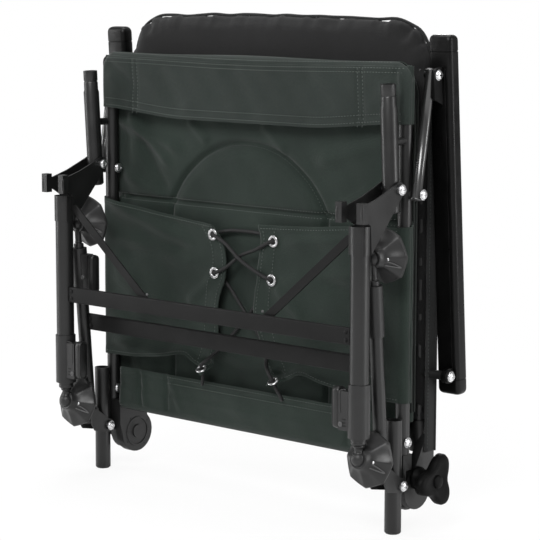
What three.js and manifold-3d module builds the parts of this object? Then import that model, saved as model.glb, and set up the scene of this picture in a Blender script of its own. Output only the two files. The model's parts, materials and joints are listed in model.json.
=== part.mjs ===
// Folding carp fishing chair, folded flat and standing on its two rear rail ends.
// Millimetres. X runs across the chair, +Z towards the front edge of the seat, +Y towards the back rest.
// The underside of the seat, with both leg frames folded on it, faces -Y. The sitter's left is +X.
import * as THREE from "three";
import { mergeVertices } from "three/addons/utils/BufferGeometryUtils.js";
import Module from "manifold-3d";

const wasm = await Module();
wasm.setup();

// Shared fits and mesh fineness
const GAP = 0.3; // between touching pieces
const HOLE_PLAY = 0.4; // round a bolt in its hole
const OVERRUN = 5; // how far a cutter runs past what it cuts
const WELD = 0.003; // points closer than this are one point
const HALF = 1 / 2;
const TUBE_SIDES = 16;
const BOLT_SIDES = 12;
const DISC_SIDES = 24;
const ARC_STEPS = 5;
const EDGE_STEPS = 3;
const BALL_SIDES = 12;
const BALL_RINGS = 8;
const FOOT_SIDES = 8;
const KNOB_POINTS = 36;

// Seat frame: a bow whose open ends sit on the arms of the recline hinges
const SEAT_TUBE = { radius: 9.5, wall: 1.5, x: 269, y: 19, low: 101.4, top: 596, bend: 55 };
// How far the other pieces of a side stand out from the seat tube's centre line, inward where negative
const OUT = {
  rail: 2.5, rearBar: -22.6, hinge: -22, blockInner: -9, blockOuter: 9, backArm: 5.6, knob: 6.2, backTube: -12,
  strut: 20, arm: 8.4, armTab: 30, leg: 3, plateInner: -11.6, plateOuter: 16.6, braceTop: -17.6, frontBox: -24,
  rearBox: -19, notch: -25.2,
};
const beside = (out) => SEAT_TUBE.x + out;
const REAR_BAR = { radius: 8, wall: 1.5, z: 99, end: beside(OUT.rearBar) };
const RAIL = { radius: 11, wall: 1.6, x: beside(OUT.rail), capDepth: 5, capRound: 2 };
const REAR_RAIL = { y: -2, height: 149.5 };
const FRONT_RAIL = { lowY: -10.7, topY: -20.4, lowZ: 417, length: 163.4 };
const MOUTH = { length: 30, radius: 9.9, taper: 3, grooveAt: 15, grooveWidth: 3, grooveDepth: 0.8 };
const SPACER = { radius: 5, z: 507 };
const BOLT = { shank: 3, headRadius: 5.6, headHeight: 3.4, nutHeight: 3 };

// Recline hinges
const HINGE = { y: 44.5, z: 50.5, radius: 30, inner: beside(OUT.hinge), thickness: 14 };
const HINGE_CAP = { radius: 10, height: 2.4, ringRadius: 19, ringWidth: 3, ringHeight: 1.2 };
const HINGE_BLOCK = {
  inner: beside(OUT.blockInner), outer: beside(OUT.blockOuter), front: 10, back: 28, low: 80, legBack: 16.4,
  legLow: 56, spigotTop: 134,
};
const BACK_ARM = {
  radius: 27, gap: 0.5, outer: beside(OUT.backArm), back: 79.2, wingLow: 54, socketLow: 96, socketWall: 2.9,
  seatZ: 107.4, top: 137,
};
const KNOB = {
  y: 43, z: 66, radius: 27, lobe: 11, lobes: 3, hub: 15, face: beside(OUT.knob), neck: 21.8, grip: 15, edge: 2.4,
};

// Back rest frame
const BACK_TUBE = { radius: 9.5, wall: 1.5, x: beside(OUT.backTube), y: 69.2, low: 107.7, top: 637, bend: 62 };

// Arm linkage: strut, arm rest, back and seat make one exact parallelogram on each side
const LINK = { seatY: 19, seatZ: 440, runY: 24, runZ: 150 };
const STRUT = {
  x: beside(OUT.strut), radius: 8, wall: 1.4, past: 9, flat: 7, neck: 47, eye: 9.2, eyeThickness: 7.8, plug: 12,
};
const ARM = {
  inner: beside(OUT.arm), width: 35.6, thickness: 21, round: 6, wall: 3, underside: 10.4, below: 28, length: 468,
};
const ARM_CAP = { length: 7, inset: 1.8 };
const ARM_TAB = { x: beside(OUT.armTab), thickness: 3, halfWidth: 9.5, tail: 40, strip: 2.2 };
const ARM_LUG = { x: ARM_TAB.x, thickness: 6, radius: 9.8 };
const ARM_PIN = { radius: 6, head: 8, headHeight: 3 };

// Leg frames, drawn hanging from their pivots; the rear one is turned over so that it stands up from its own
const FRONT_LEG = {
  pivotY: -12.5, pivotZ: 447.8, x: beside(OUT.leg), radius: 12.5, wall: 1.8, offset: 60.3, top: 43.8, bottom: 304,
  sleeveRadius: 13.6, sleeveTop: 41.8, sleeveLow: 77.8, clampOver: 62.6, clampUnder: 6.3, clampRadius: 14.3,
  innerRadius: 10.3, innerWall: 1.6, innerTop: 92, collar: 3.7, stem: 5.4, reach: 23.4, ballRadius: 9.6,
};
const REAR_LEG = {
  pivotY: REAR_RAIL.y, pivotZ: 65, x: beside(OUT.leg), radius: 9, wall: 1.4, offset: 23.4, top: 12, bottom: 258,
  sleeveRadius: 10.4, sleeveTop: 8, sleeveLow: 30, clampOver: 58, clampUnder: 8, clampRadius: 11.2,
  innerRadius: 7.2, innerWall: 1.4, innerTop: 70, collar: 2, stem: 4.4, reach: 33, ballRadius: 9.4,
};
const REAR_LEAN = 4.3; // degrees that the folded rear frame leans towards the front one
const PLATE = { inner: beside(OUT.plateInner), outer: beside(OUT.plateOuter), thickness: 2.1, pivotRadius: 10 };
// Corners of a front bracket plate, as distances out from the pivot and down the leg
const FRONT_PLATE = [[54.8, 77.2], [57, 40.8], [74.5, 30.5], [74.8, 16.9], [41.8, 7.1]];
const PLATE_LIP = { out: 74.5, past: 8, top: 10.8, low: 36.8, width: 8 };
const CROSSBAR = { thickness: 6, round: 2.2, gap: 0.3 };
const FRONT_BAR = { up: 122, out: 62.5, height: 22.5 };
const REAR_CROSS = { up: 99, out: 21, height: 24 };
const BRACE = { width: 12, thickness: 2.6, lowX: 104, topX: beside(OUT.braceTop), topAlong: 60, gap: 0.4 };
const FRONT_BOX = { inner: beside(OUT.frontBox), depth: 18, low: 8, top: 10 };
const REAR_BOX = { inner: beside(OUT.rearBox), depth: 13, low: 8, top: 8 };
const LEVER = { thickness: 5, gap: 0.5, boss: 5, narrow: 2, length: 50 };
// Mud foot profile: radius, and distance beyond the centre of the ball
const FOOT_PROFILE = [
  [0, 12], [13, 12], [34.3, 21.2], [35, 25], [37, 25], [36.6, 20], [14.2, 5.5], [13, -2], [0, -2],
];
const FOOT_SLOT = { play: 1, reach: 24 };
const FRONT_FOOT_TURN = 78; // degrees that the foot is turned up from square on the leg
const REAR_FOOT_TURN = 90;

// Seat cover, laced round the seat frame on its underside
const COVER = { cloth: 1.5, play: 0.6, back: 30.4, bandLow: 523, panelLow: 90, rearTop: 152 };
const FLAP = { topOuter: 400, topInner: 376, lowOuter: 169, lowPeakX: 102, lowPeak: 187, lowInner: 179 };
const FLAP_EDGE = { rightTop: -45, rightMid: -53, leftTop: 27, leftMid: 20, midZ: 279 };
const EYELET = { hole: 4, top: [56, 361], mid: [53, 308], low: [67, 171.5], landing: 9 };
const LACE = { radius: 1.5, sides: 6, steps: 108 };

// Cushions: the seat's lies inside its tubes' centre lines, the back's hangs over them
const PAD_INSET = 1;
const PAD_OVERHANG = 15;
const COVER_FIT = 4.4; // from the back cushion's side to the cover's
const SEAT_PAD = { half: SEAT_TUBE.x - PAD_INSET, low: 80, top: 601, front: 31, back: 54.6, round: 50, drawn: 3 };
const BACK_PAD = { half: BACK_TUBE.x + PAD_OVERHANG, low: 95, top: 663, front: 56.4, back: 84, round: 62, drawn: 1.5 };
const PAD_NOTCH = { x: beside(OUT.notch), top: 138.5 };
const PAD_RING_SHARES = [1, 0.992, 0.972, 0.9, 0.5];
const PAD_BULGE_SHARES = [0.6, 0.78, 0.88, 0.96, 1];
const PAD_SIDE_POINTS = 6;
const BACK_COVER = {
  cloth: 1.4, half: BACK_PAD.half + COVER_FIT, front: 57.4, back: 86.2, low: 97, top: 590, corner: 6,
};

// Finishes
const finish = (color, roughness, metalness) => new THREE.MeshStandardMaterial({ color, roughness, metalness });
const FRAME_PAINT = finish(0x2a2a2b, 0.45, 0.3);
const GLOSS_PAINT = finish(0x141414, 0.2, 0.3);
const ZINC = finish(0xb9babb, 0.3, 0.9);
const PLASTIC = finish(0x202021, 0.55, 0);
const ARM_PLASTIC = finish(0x161617, 0.5, 0);
const CLOTH = finish(0x2d3a33, 0.95, 0);
const DARK_CLOTH = finish(0x2b2b2b, 0.95, 0);
const CORD = finish(0x111111, 0.9, 0);

const QUARTER = Math.PI / 2;
const radians = THREE.MathUtils.degToRad;
const point = (x, y, z) => new THREE.Vector3(x, y, z);

// A three.js geometry as a solid that can be joined and cut
function solid(geometry) {
  const bare = new THREE.BufferGeometry().setAttribute("position", geometry.getAttribute("position"));
  if (geometry.index) bare.setIndex(geometry.index);
  const merged = mergeVertices(bare, WELD);
  return new wasm.Manifold(
    new wasm.Mesh({
      numProp: 3,
      vertProperties: new Float32Array(merged.attributes.position.array),
      triVerts: new Uint32Array(merged.index.array),
    }),
  );
}

function geometryOf(body) {
  const { numProp, vertProperties, triVerts, numVert } = body.getMesh();
  const points = new Float32Array(numVert * 3);
  for (let i = 0; i < numVert; i++) {
    points.set(vertProperties.subarray(i * numProp, i * numProp + 3), i * 3);
  }
  const geometry = new THREE.BufferGeometry().setAttribute("position", new THREE.BufferAttribute(points, 3));
  return geometry.setIndex(new THREE.BufferAttribute(triVerts, 1));
}

const joined = (first, ...rest) => geometryOf(rest.reduce((all, g) => all.add(solid(g)), solid(first)));
const cut = (first, ...rest) => geometryOf(rest.reduce((all, g) => all.subtract(solid(g)), solid(first)));

function piece(name, geometry, material) {
  const flat = geometry.index ? geometry.toNonIndexed() : geometry;
  flat.computeVertexNormals();
  const mesh = new THREE.Mesh(flat, material);
  mesh.name = name;
  return mesh;
}

// A path whose stations are exactly the points given, so that a tube has rings only where it needs them
class StationPath extends THREE.Curve {
  constructor(stations) {
    super();
    this.stations = stations;
  }
  getPoint(t, target = new THREE.Vector3()) {
    const last = this.stations.length - 1;
    const at = Math.min(t * last, last);
    const i = Math.min(Math.floor(at), last - 1);
    return target.copy(this.stations[i]).lerp(this.stations[i + 1], at - i);
  }
  getPointAt(u, target) {
    return this.getPoint(u, target);
  }
  getTangentAt(u, target = new THREE.Vector3()) {
    const last = this.stations.length - 1;
    const i = Math.round(u * last);
    const here = this.stations[i];
    const into = here.clone().sub(this.stations[Math.max(i - 1, 0)]).normalize();
    const out = this.stations[Math.min(i + 1, last)].clone().sub(here).normalize();
    return target.copy(into).add(out).normalize();
  }
}

function circle(radius, sides, bore = 0) {
  const ring = (r, turn) =>
    Array.from({ length: sides }, (_, i) => {
      const a = (turn * i * 2 * Math.PI) / sides;
      return new THREE.Vector2(r * Math.cos(a), r * Math.sin(a));
    });
  const shape = new THREE.Shape(ring(radius, 1));
  if (bore) shape.holes.push(new THREE.Path(ring(bore, -1)));
  return shape;
}

function tube(stations, radius, bore = 0) {
  const extrudePath = new StationPath(stations);
  return new THREE.ExtrudeGeometry(circle(radius, TUBE_SIDES, bore), { steps: stations.length - 1, extrudePath });
}

// A straight round bar between two points, or a tube when it has a bore
function bar(from, to, radius, sides = TUBE_SIDES, bore = 0) {
  const depth = to.distanceTo(from);
  const geometry = new THREE.ExtrudeGeometry(circle(radius, sides, bore), { depth, bevelEnabled: false });
  const along = to.clone().sub(from).normalize();
  const turn = new THREE.Quaternion().setFromUnitVectors(point(0, 0, 1), along);
  return geometry.applyQuaternion(turn).translate(from.x, from.y, from.z);
}

const acrossBar = (x0, x1, y, z, radius, sides = TUBE_SIDES, bore = 0) =>
  bar(point(x0, y, z), point(x1, y, z), radius, sides, bore);

// A block given by its low and high corners
function block(x0, x1, y0, y1, z0, z1) {
  const geometry = new THREE.BoxGeometry(x1 - x0, y1 - y0, z1 - z0);
  return geometry.translate((x0 + x1) * HALF, (y0 + y1) * HALF, (z0 + z1) * HALF);
}

// A plate with its outline in Y and Z, between two places across the chair
function sidePlate(outline, x0, x1) {
  const shape = new THREE.Shape(outline.map(([y, z]) => new THREE.Vector2(y, z)));
  const geometry = new THREE.ExtrudeGeometry(shape, { depth: x1 - x0, bevelEnabled: false });
  const axes = new THREE.Matrix4().makeBasis(point(0, 1, 0), point(0, 0, 1), point(1, 0, 0));
  return geometry.applyMatrix4(axes).translate(x0, 0, 0);
}

// A sheet with its outline in X and Z, between two depths
function faceSheet(outline, y0, y1) {
  const shape = new THREE.Shape(outline.map(([x, z]) => new THREE.Vector2(x, z)));
  const geometry = new THREE.ExtrudeGeometry(shape, { depth: y1 - y0, bevelEnabled: false });
  return geometry.rotateX(QUARTER).translate(0, y1, 0);
}

function arc(cx, cy, radius, from, to, steps) {
  return Array.from({ length: steps + 1 }, (_, i) => {
    const a = from + ((to - from) * i) / steps;
    return [cx + radius * Math.cos(a), cy + radius * Math.sin(a)];
  });
}

// Rectangle about the origin with rounded corners
function roundedRectangle(width, height, round) {
  const w = width * HALF - round;
  const h = height * HALF - round;
  return [
    ...arc(w, h, round, 0, QUARTER, EDGE_STEPS),
    ...arc(-w, h, round, QUARTER, 2 * QUARTER, EDGE_STEPS),
    ...arc(-w, -h, round, 2 * QUARTER, 3 * QUARTER, EDGE_STEPS),
    ...arc(w, -h, round, 3 * QUARTER, 4 * QUARTER, EDGE_STEPS),
  ];
}

// Outline about the middle of the chair, round at its top corners
function archOutline(half, low, top, round) {
  return [
    [half, low],
    ...arc(half - round, top - round, round, 0, QUARTER, ARC_STEPS),
    ...arc(round - half, top - round, round, QUARTER, 2 * QUARTER, ARC_STEPS),
    [-half, low],
  ];
}

// Stations of a bow: up one side, across the top and down the other
function bowStations({ x, y, low, top, bend }) {
  const corner = arc(x - bend, top - bend, bend, 0, QUARTER, ARC_STEPS);
  const right = corner.map(([cx, cz]) => [-cx, cz]).reverse();
  return [[x, low], ...corner, ...right, [-x, low]].map(([px, pz]) => point(px, y, pz));
}

// Bolt across the chair with a domed head on its outer end and a nut on its inner end
function boltAcross(inner, outer, y, z) {
  const { shank, headRadius, headHeight, nutHeight } = BOLT;
  const length = outer - inner;
  const profile = [
    [0, -nutHeight],
    [headRadius, -nutHeight],
    [headRadius, 0],
    [shank, 0],
    [shank, length],
    [headRadius, length],
    [headRadius, length + headHeight * HALF],
    [headRadius * HALF, length + headHeight],
    [0, length + headHeight],
  ];
  const geometry = new THREE.LatheGeometry(profile.map(([r, h]) => new THREE.Vector2(r, h)), BOLT_SIDES);
  return geometry.rotateZ(-QUARTER).translate(inner, y, z);
}

const boltHole = (x, reach, y, z) => acrossBar(x - reach, x + reach, y, z, BOLT.shank + HOLE_PLAY, BOLT_SIDES);

// Seat frame

function seatBow() {
  const { radius, wall, x } = SEAT_TUBE;
  const bow = tube(bowStations(SEAT_TUBE), radius, radius - wall);
  const holes = [-1, 1].map((side) => boltHole(side * x, radius + OVERRUN, LINK.seatY, LINK.seatZ));
  return cut(bow, ...holes);
}

function seatRearBar() {
  const { end, z, radius, wall } = REAR_BAR;
  return acrossBar(-end, end, SEAT_TUBE.y, z, radius, TUBE_SIDES, radius - wall);
}

// Rail tube on the origin, open at its top, with a rounded plug closing its lower end
function railTube(upper) {
  const { radius, wall, capDepth, capRound } = RAIL;
  const profile = [
    [0, 0],
    [radius - capRound, 0],
    [radius, capRound],
    ...upper,
    [radius - wall, capDepth],
    [0, capDepth],
  ];
  return new THREE.LatheGeometry(profile.map(([r, h]) => new THREE.Vector2(r, h)), TUBE_SIDES).rotateX(QUARTER);
}

// The rear rail ends square
function rearRail() {
  const { radius, wall, x } = RAIL;
  const { y, height } = REAR_RAIL;
  const rail = railTube([[radius, height], [radius - wall, height]]).translate(x, y, 0);
  return cut(rail, boltHole(x, radius + OVERRUN, REAR_LEG.pivotY, REAR_LEG.pivotZ));
}

const frontRailLean = Math.atan2(FRONT_RAIL.lowY - FRONT_RAIL.topY, FRONT_RAIL.length);

// The front rail ends in a drawn-in mouth with a groove round it
function frontRail() {
  const { wall, radius, x } = RAIL;
  const { lowY, lowZ, length } = FRONT_RAIL;
  const { grooveAt, grooveWidth, grooveDepth, taper } = MOUTH;
  const start = length - MOUTH.length;
  const groove = length - grooveAt;
  const rail = railTube([
    [radius, start],
    [MOUTH.radius, start + taper],
    [MOUTH.radius, groove - grooveWidth * HALF],
    [MOUTH.radius - grooveDepth, groove],
    [MOUTH.radius, groove + grooveWidth * HALF],
    [MOUTH.radius, length],
    [MOUTH.radius - wall, length],
    [MOUTH.radius - wall, start + taper],
    [radius - wall, start],
  ]);
  rail.rotateX(frontRailLean).translate(x, lowY, lowZ);
  return cut(rail, boltHole(x, radius + OVERRUN, FRONT_LEG.pivotY, FRONT_LEG.pivotZ));
}

// Short round spacer that holds the front rail off the seat tube
function railSpacer() {
  const { z, radius } = SPACER;
  const { lowY, lowZ, length } = FRONT_RAIL;
  const slope = Math.tan(frontRailLean);
  const onRail = (at) => point(RAIL.x, lowY - (at - lowZ) * slope, at);
  const onSeat = (at) => point(SEAT_TUBE.x, SEAT_TUBE.y, at);
  const reach = radius + OVERRUN;
  const blank = bar(onRail(z), point(RAIL.x, SEAT_TUBE.y, z), radius, BOLT_SIDES);
  const rail = bar(onRail(lowZ), onRail(lowZ + length), RAIL.radius + GAP);
  return cut(blank, rail, bar(onSeat(z - reach), onSeat(z + reach), SEAT_TUBE.radius + GAP));
}

// Recline hinges

// Disc with a capped ring on its inner face, and the block whose spigot carries the seat tube
function hingeSeatArm() {
  const { y, z, radius, thickness, inner } = HINGE;
  const { front, back, low, legBack, legLow, spigotTop } = HINGE_BLOCK;
  const { ringRadius, ringWidth, ringHeight } = HINGE_CAP;
  const top = SEAT_TUBE.low - GAP;
  const outer = inner + thickness;
  const disc = acrossBar(inner, outer, y, z, radius, DISC_SIDES);
  const cap = acrossBar(inner - HINGE_CAP.height, outer, y, z, HINGE_CAP.radius);
  const ring = acrossBar(inner - ringHeight, outer, y, z, ringRadius + ringWidth, DISC_SIDES, ringRadius);
  const outline = [
    [front, top],
    [front, low - radius * HALF],
    [y - radius, z],
    [y, z],
    [y, z + radius],
    [back, top - radius * HALF * HALF],
    [back, top],
  ];
  const web = sidePlate(outline, inner, outer);
  const head = block(HINGE_BLOCK.inner, HINGE_BLOCK.outer, front, back, low, top);
  const leg = block(HINGE_BLOCK.inner, HINGE_BLOCK.outer, front, legBack, legLow, low + GAP);
  const onSeat = (at) => point(SEAT_TUBE.x, SEAT_TUBE.y, at);
  const spigot = bar(onSeat(low), onSeat(spigotTop), SEAT_TUBE.radius - SEAT_TUBE.wall - GAP);
  return joined(disc, cap, ring, web, head, leg, spigot);
}

// Disc with a wing up to the socket that holds the back tube
function hingeBackArm() {
  const { radius, gap, outer, back, wingLow, socketLow, socketWall, seatZ, top } = BACK_ARM;
  const inner = HINGE.inner + HINGE.thickness + gap;
  const socketRadius = BACK_TUBE.radius + GAP + socketWall;
  const disc = acrossBar(inner, outer, HINGE.y, HINGE.z, radius, DISC_SIDES);
  const outline = [
    [HINGE.y, HINGE.z],
    [back - socketWall, wingLow],
    [back, wingLow + socketWall],
    [back, top - socketWall],
    [BACK_TUBE.y, top],
    [BACK_TUBE.y - socketRadius, seatZ],
    [HINGE.y - radius * HALF, HINGE.z + radius * HALF],
  ];
  const onTube = (at) => point(BACK_TUBE.x, BACK_TUBE.y, at);
  const socket = bar(onTube(socketLow), onTube(top), socketRadius);
  const bore = bar(onTube(seatZ), onTube(top + OVERRUN), BACK_TUBE.radius + GAP);
  return cut(joined(disc, sidePlate(outline, inner, outer), socket), bore);
}

// Three-lobed knob with a round hub against the back arm
function reclineKnob() {
  const { y, z, radius, lobe, lobes, hub, face, edge } = KNOB;
  const inner = face + KNOB.neck;
  const outer = inner + KNOB.grip;
  const outline = (inset) =>
    Array.from({ length: KNOB_POINTS }, (_, i) => {
      const a = (2 * Math.PI * i) / KNOB_POINTS;
      const r = radius - inset + lobe * Math.cos(lobes * (a - QUARTER));
      return [r * Math.cos(a), r * Math.sin(a)];
    });
  const star = sidePlate(outline(0), inner + edge, outer - edge);
  const faces = sidePlate(outline(edge), inner, outer);
  const neck = acrossBar(face, inner + edge, 0, 0, hub);
  return joined(star, faces, neck).translate(0, y, z);
}

// Back rest frame

// Places of the arm rest's two pivots
const armPivot = { y: HINGE.y + LINK.runY, z: HINGE.z + LINK.runZ };
const linkLength = Math.hypot(LINK.seatY - HINGE.y, LINK.seatZ - HINGE.z);
const armLean = Math.atan2(HINGE.y - LINK.seatY, LINK.seatZ - HINGE.z);

function backBow() {
  const { radius, wall, x } = BACK_TUBE;
  const bow = tube(bowStations(BACK_TUBE), radius, radius - wall);
  const reach = x + radius + OVERRUN;
  const holes = [[-reach, -x], [x, reach]].map(([x0, x1]) =>
    acrossBar(x0, x1, armPivot.y, armPivot.z, ARM_PIN.radius + GAP),
  );
  return cut(bow, ...holes);
}

// Pin that stands out of the back tube and carries the rear of the arm rest
function armPin() {
  const { radius, head, headHeight } = ARM_PIN;
  const end = ARM_LUG.x + ARM_LUG.thickness + HOLE_PLAY;
  const shank = acrossBar(BACK_TUBE.x, end + GAP, armPivot.y, armPivot.z, radius);
  return joined(shank, acrossBar(end, end + headHeight, armPivot.y, armPivot.z, head, BOLT_SIDES));
}

// Hollow rounded beam with a narrower cap at each end, drawn from its rear pivot at the origin
function armBeam() {
  const { inner, width, thickness, round, wall, underside, below, length } = ARM;
  const extruded = (inset, depth, at) => {
    const outline = roundedRectangle(width - 2 * inset, thickness - 2 * inset, round - inset * HALF);
    const shape = new THREE.Shape(outline.map(([x, y]) => new THREE.Vector2(x, y)));
    return new THREE.ExtrudeGeometry(shape, { depth, bevelEnabled: false }).translate(0, 0, at);
  };
  const body = extruded(0, length - 2 * ARM_CAP.length, ARM_CAP.length);
  const caps = extruded(ARM_CAP.inset, length, 0);
  const hollow = extruded(wall, length - 2 * wall, wall);
  const drain = bar(point(0, 0, -OVERRUN), point(0, 0, 2 * wall), wall, BOLT_SIDES);
  const beam = cut(joined(body, caps), hollow, drain);
  return beam.translate(inner + width * HALF, underside + thickness * HALF, -below);
}

// Bracket under the beam: a tab bolted to the strut, a lug round the pin and the strip that joins them
function armBracket() {
  const top = ARM.underside - GAP;
  const { halfWidth, tail, thickness, strip } = ARM_TAB;
  const tabOutline = [
    [top, linkLength - tail],
    [top, linkLength + halfWidth],
    ...arc(0, linkLength, halfWidth, QUARTER, 2 * QUARTER, ARC_STEPS),
    [-halfWidth, linkLength - tail + halfWidth],
  ];
  const { radius, x } = ARM_LUG;
  const end = x + ARM_LUG.thickness;
  const lugOutline = [[top, -radius], [top, radius], ...arc(0, 0, radius, QUARTER, 3 * QUARTER, ARC_STEPS)];
  const tab = sidePlate(tabOutline, ARM_TAB.x, ARM_TAB.x + thickness);
  const lug = sidePlate(lugOutline, x, end);
  const spine = block(x, end, top - strip, top, -radius, linkLength + halfWidth);
  const bolt = boltAcross(STRUT.x - STRUT.flat * HALF - HOLE_PLAY, ARM_TAB.x + thickness, 0, linkLength);
  return cut(joined(tab, lug, spine, bolt), acrossBar(x - OVERRUN, end + OVERRUN, 0, 0, ARM_PIN.radius + HOLE_PLAY));
}

function armGroup(side) {
  const group = new THREE.Group();
  group.rotation.x = armLean;
  group.position.set(0, armPivot.y, armPivot.z);
  group.add(piece("arm_rest_" + side, armBeam(), ARM_PLASTIC));
  group.add(piece("arm_bracket_" + side, armBracket(), FRAME_PAINT));
  return group;
}

// Tube pressed flat at its top round the arm bracket's bolt, with its own bolt through the seat tube
function strut() {
  const { x, radius, wall, past, flat, neck, eye, eyeThickness, plug } = STRUT;
  const length = Math.hypot(LINK.runY, LINK.runZ);
  const at = (z) => point(0, 0, z);
  const shaft = bar(at(-past), at(length), radius);
  const wide = radius + OVERRUN;
  const pressed = length - neck;
  const sides = [
    block(-wide, -flat * HALF, -wide, wide, pressed, length + OVERRUN),
    block(flat * HALF, wide, -wide, wide, pressed, length + OVERRUN),
  ];
  const head = acrossBar(-eyeThickness * HALF, eyeThickness * HALF, 0, length, eye);
  const bore = bar(at(plug), at(pressed - wall), radius - wall);
  const vent = acrossBar(0, wide, 0, plug + 2 * wall, wall, BOLT_SIDES);
  const body = cut(joined(cut(shaft, ...sides), head), bore, vent, boltHole(0, wide, 0, length));
  body.rotateX(-Math.atan2(LINK.runY, LINK.runZ)).translate(x, LINK.seatY, LINK.seatZ);
  const bolt = boltAcross(SEAT_TUBE.x - SEAT_TUBE.radius - GAP - HOLE_PLAY, x + radius + wall, LINK.seatY, LINK.seatZ);
  return joined(body, bolt);
}

// Legs, each drawn with its frame's pivot at the origin and the leg running down -Z

const onLeg = (leg, along) => point(leg.x, -leg.offset, -along);

const legTube = (leg) =>
  bar(onLeg(leg, leg.bottom), onLeg(leg, leg.top), leg.radius, TUBE_SIDES, leg.radius - leg.wall);

// Where the clamp, the inner leg's plug and its ball stand, counted along the leg from its pivot
const clampTop = (leg) => leg.bottom - leg.clampOver;
const clampLow = (leg) => leg.bottom + leg.clampUnder;
const plugAlong = (leg) => clampLow(leg) + leg.collar;
const ballAlong = (leg) => plugAlong(leg) + leg.reach;

// Inner leg: a tube closed by a collar, with the stem and ball that carry the foot
function innerLeg(leg) {
  const { innerTop, innerRadius, innerWall, stem, ballRadius } = leg;
  const plug = plugAlong(leg);
  const ball = ballAlong(leg);
  const shell = bar(onLeg(leg, plug), onLeg(leg, innerTop), innerRadius, TUBE_SIDES, innerRadius - innerWall);
  const collar = bar(onLeg(leg, plug + innerWall), onLeg(leg, plug - stem), innerRadius);
  const neck = bar(onLeg(leg, ball), onLeg(leg, plug), stem);
  const knob = new THREE.SphereGeometry(ballRadius, BALL_SIDES, BALL_RINGS).translate(leg.x, -leg.offset, -ball);
  return joined(shell, collar, neck, knob);
}

// Round clamp on the leg's end, with a box for its lever on the inner side
function legClamp(leg, box) {
  const { x, offset, clampRadius, radius, innerRadius, bottom } = leg;
  const top = clampTop(leg);
  const low = clampLow(leg);
  const collar = bar(onLeg(leg, low), onLeg(leg, top), clampRadius);
  const y = -offset - box.depth * HALF;
  const housing = block(box.inner, x, y, y + box.depth, box.low - low, -top - box.top);
  const seat = bar(onLeg(leg, bottom + GAP), onLeg(leg, top - OVERRUN), radius + GAP);
  const neck = bar(onLeg(leg, low + OVERRUN), onLeg(leg, top - OVERRUN), innerRadius + GAP);
  return cut(joined(collar, housing), seat, neck);
}

// Lever that lies against the inner face of the clamp's box and turns on the boss at its lower end
function clampLever(leg, box) {
  const { thickness, gap, boss, narrow, length } = LEVER;
  const face = box.inner - gap;
  const half = box.depth * HALF;
  const low = -leg.offset - half;
  const high = half - leg.offset;
  const pivotZ = box.low + boss - clampLow(leg);
  const eye = bar(point(face - boss, low, pivotZ), point(face - boss, high, pivotZ), boss, BOLT_SIDES);
  return joined(eye, block(face - thickness, face, low + narrow, high - narrow, pivotZ, pivotZ + length));
}

// Mud foot: a faceted cone about the ball's centre, facing -Z, with a socket for the ball in its neck
// and a slot that lets it swing on the stem from square on the leg to its folded turn
function mudFoot(leg, turn) {
  const profile = FOOT_PROFILE.map(([r, a]) => new THREE.Vector2(r, -a));
  const cone = new THREE.LatheGeometry(profile, FOOT_SIDES, Math.PI / FOOT_SIDES).rotateX(QUARTER);
  const socket = new THREE.SphereGeometry(leg.ballRadius + FOOT_SLOT.play, BALL_SIDES, BALL_RINGS);
  const width = leg.stem + FOOT_SLOT.play;
  const { reach } = FOOT_SLOT;
  const [out, up] = [Math.sin(turn), Math.cos(turn)];
  const outline = [
    [-width, 0],
    [width * up, -width * out],
    [width * up + reach * out, reach * up - width * out],
    [reach, reach],
    [-width, reach],
  ];
  return cut(cone, socket, sidePlate(outline, -width, width));
}

// A bracket's two plates round the rail, with the sleeve they are welded to
function bracket(leg, outline, extras) {
  const { x, sleeveRadius, sleeveTop, sleeveLow, radius, offset } = leg;
  const { inner, outer, thickness } = PLATE;
  const near = sidePlate(outline, inner, inner + thickness);
  const far = sidePlate(outline, outer - thickness, outer);
  const sleeve = bar(onLeg(leg, sleeveLow), onLeg(leg, sleeveTop), sleeveRadius);
  const half = sleeveRadius * HALF;
  const web = block(
    inner + thickness * HALF, outer - thickness * HALF, -offset - half, half - offset, -sleeveLow, -sleeveTop,
  );
  const bore = bar(onLeg(leg, sleeveLow + OVERRUN), onLeg(leg, sleeveTop - OVERRUN), radius + GAP);
  return cut(joined(near, far, sleeve, web, ...extras), bore, boltHole(x, outer - inner, 0, 0));
}

// Front bracket, whose plates carry a turned-out lip past the head of the leg
function frontBracket() {
  const { out, past, top, low, width } = PLATE_LIP;
  const { inner, outer, thickness } = PLATE;
  const outline = [
    ...arc(0, 0, PLATE.pivotRadius, -QUARTER * HALF, QUARTER + QUARTER * HALF, ARC_STEPS),
    ...FRONT_PLATE.map(([away, along]) => [-away, -along]).reverse(),
  ];
  const lip = (x0, x1) => block(x0, x1, -out - past, thickness - out, -low, -top);
  return bracket(FRONT_LEG, outline, [lip(inner - width, inner + thickness), lip(outer - thickness, outer + width)]);
}

// Rear bracket, a short cheek each side of the rail
function rearBracket() {
  const { offset, sleeveRadius, sleeveLow, sleeveTop } = REAR_LEG;
  const outline = [
    ...arc(0, 0, PLATE.pivotRadius, -QUARTER, QUARTER, ARC_STEPS),
    [-offset - sleeveRadius * HALF, PLATE.pivotRadius - sleeveTop],
    [-offset - sleeveRadius, -sleeveTop],
    [-offset - sleeveRadius, -sleeveLow],
    [-offset, -sleeveLow],
  ];
  return bracket(REAR_LEG, outline, []);
}

// Flat crossbar with rounded edges between the two legs of a frame
function crossbar(leg, place) {
  const end = leg.x - leg.radius - CROSSBAR.gap;
  const outline = roundedRectangle(CROSSBAR.thickness, place.height, CROSSBAR.round);
  return sidePlate(outline, -end, end).translate(0, -place.out, place.up - leg.bottom);
}

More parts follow.
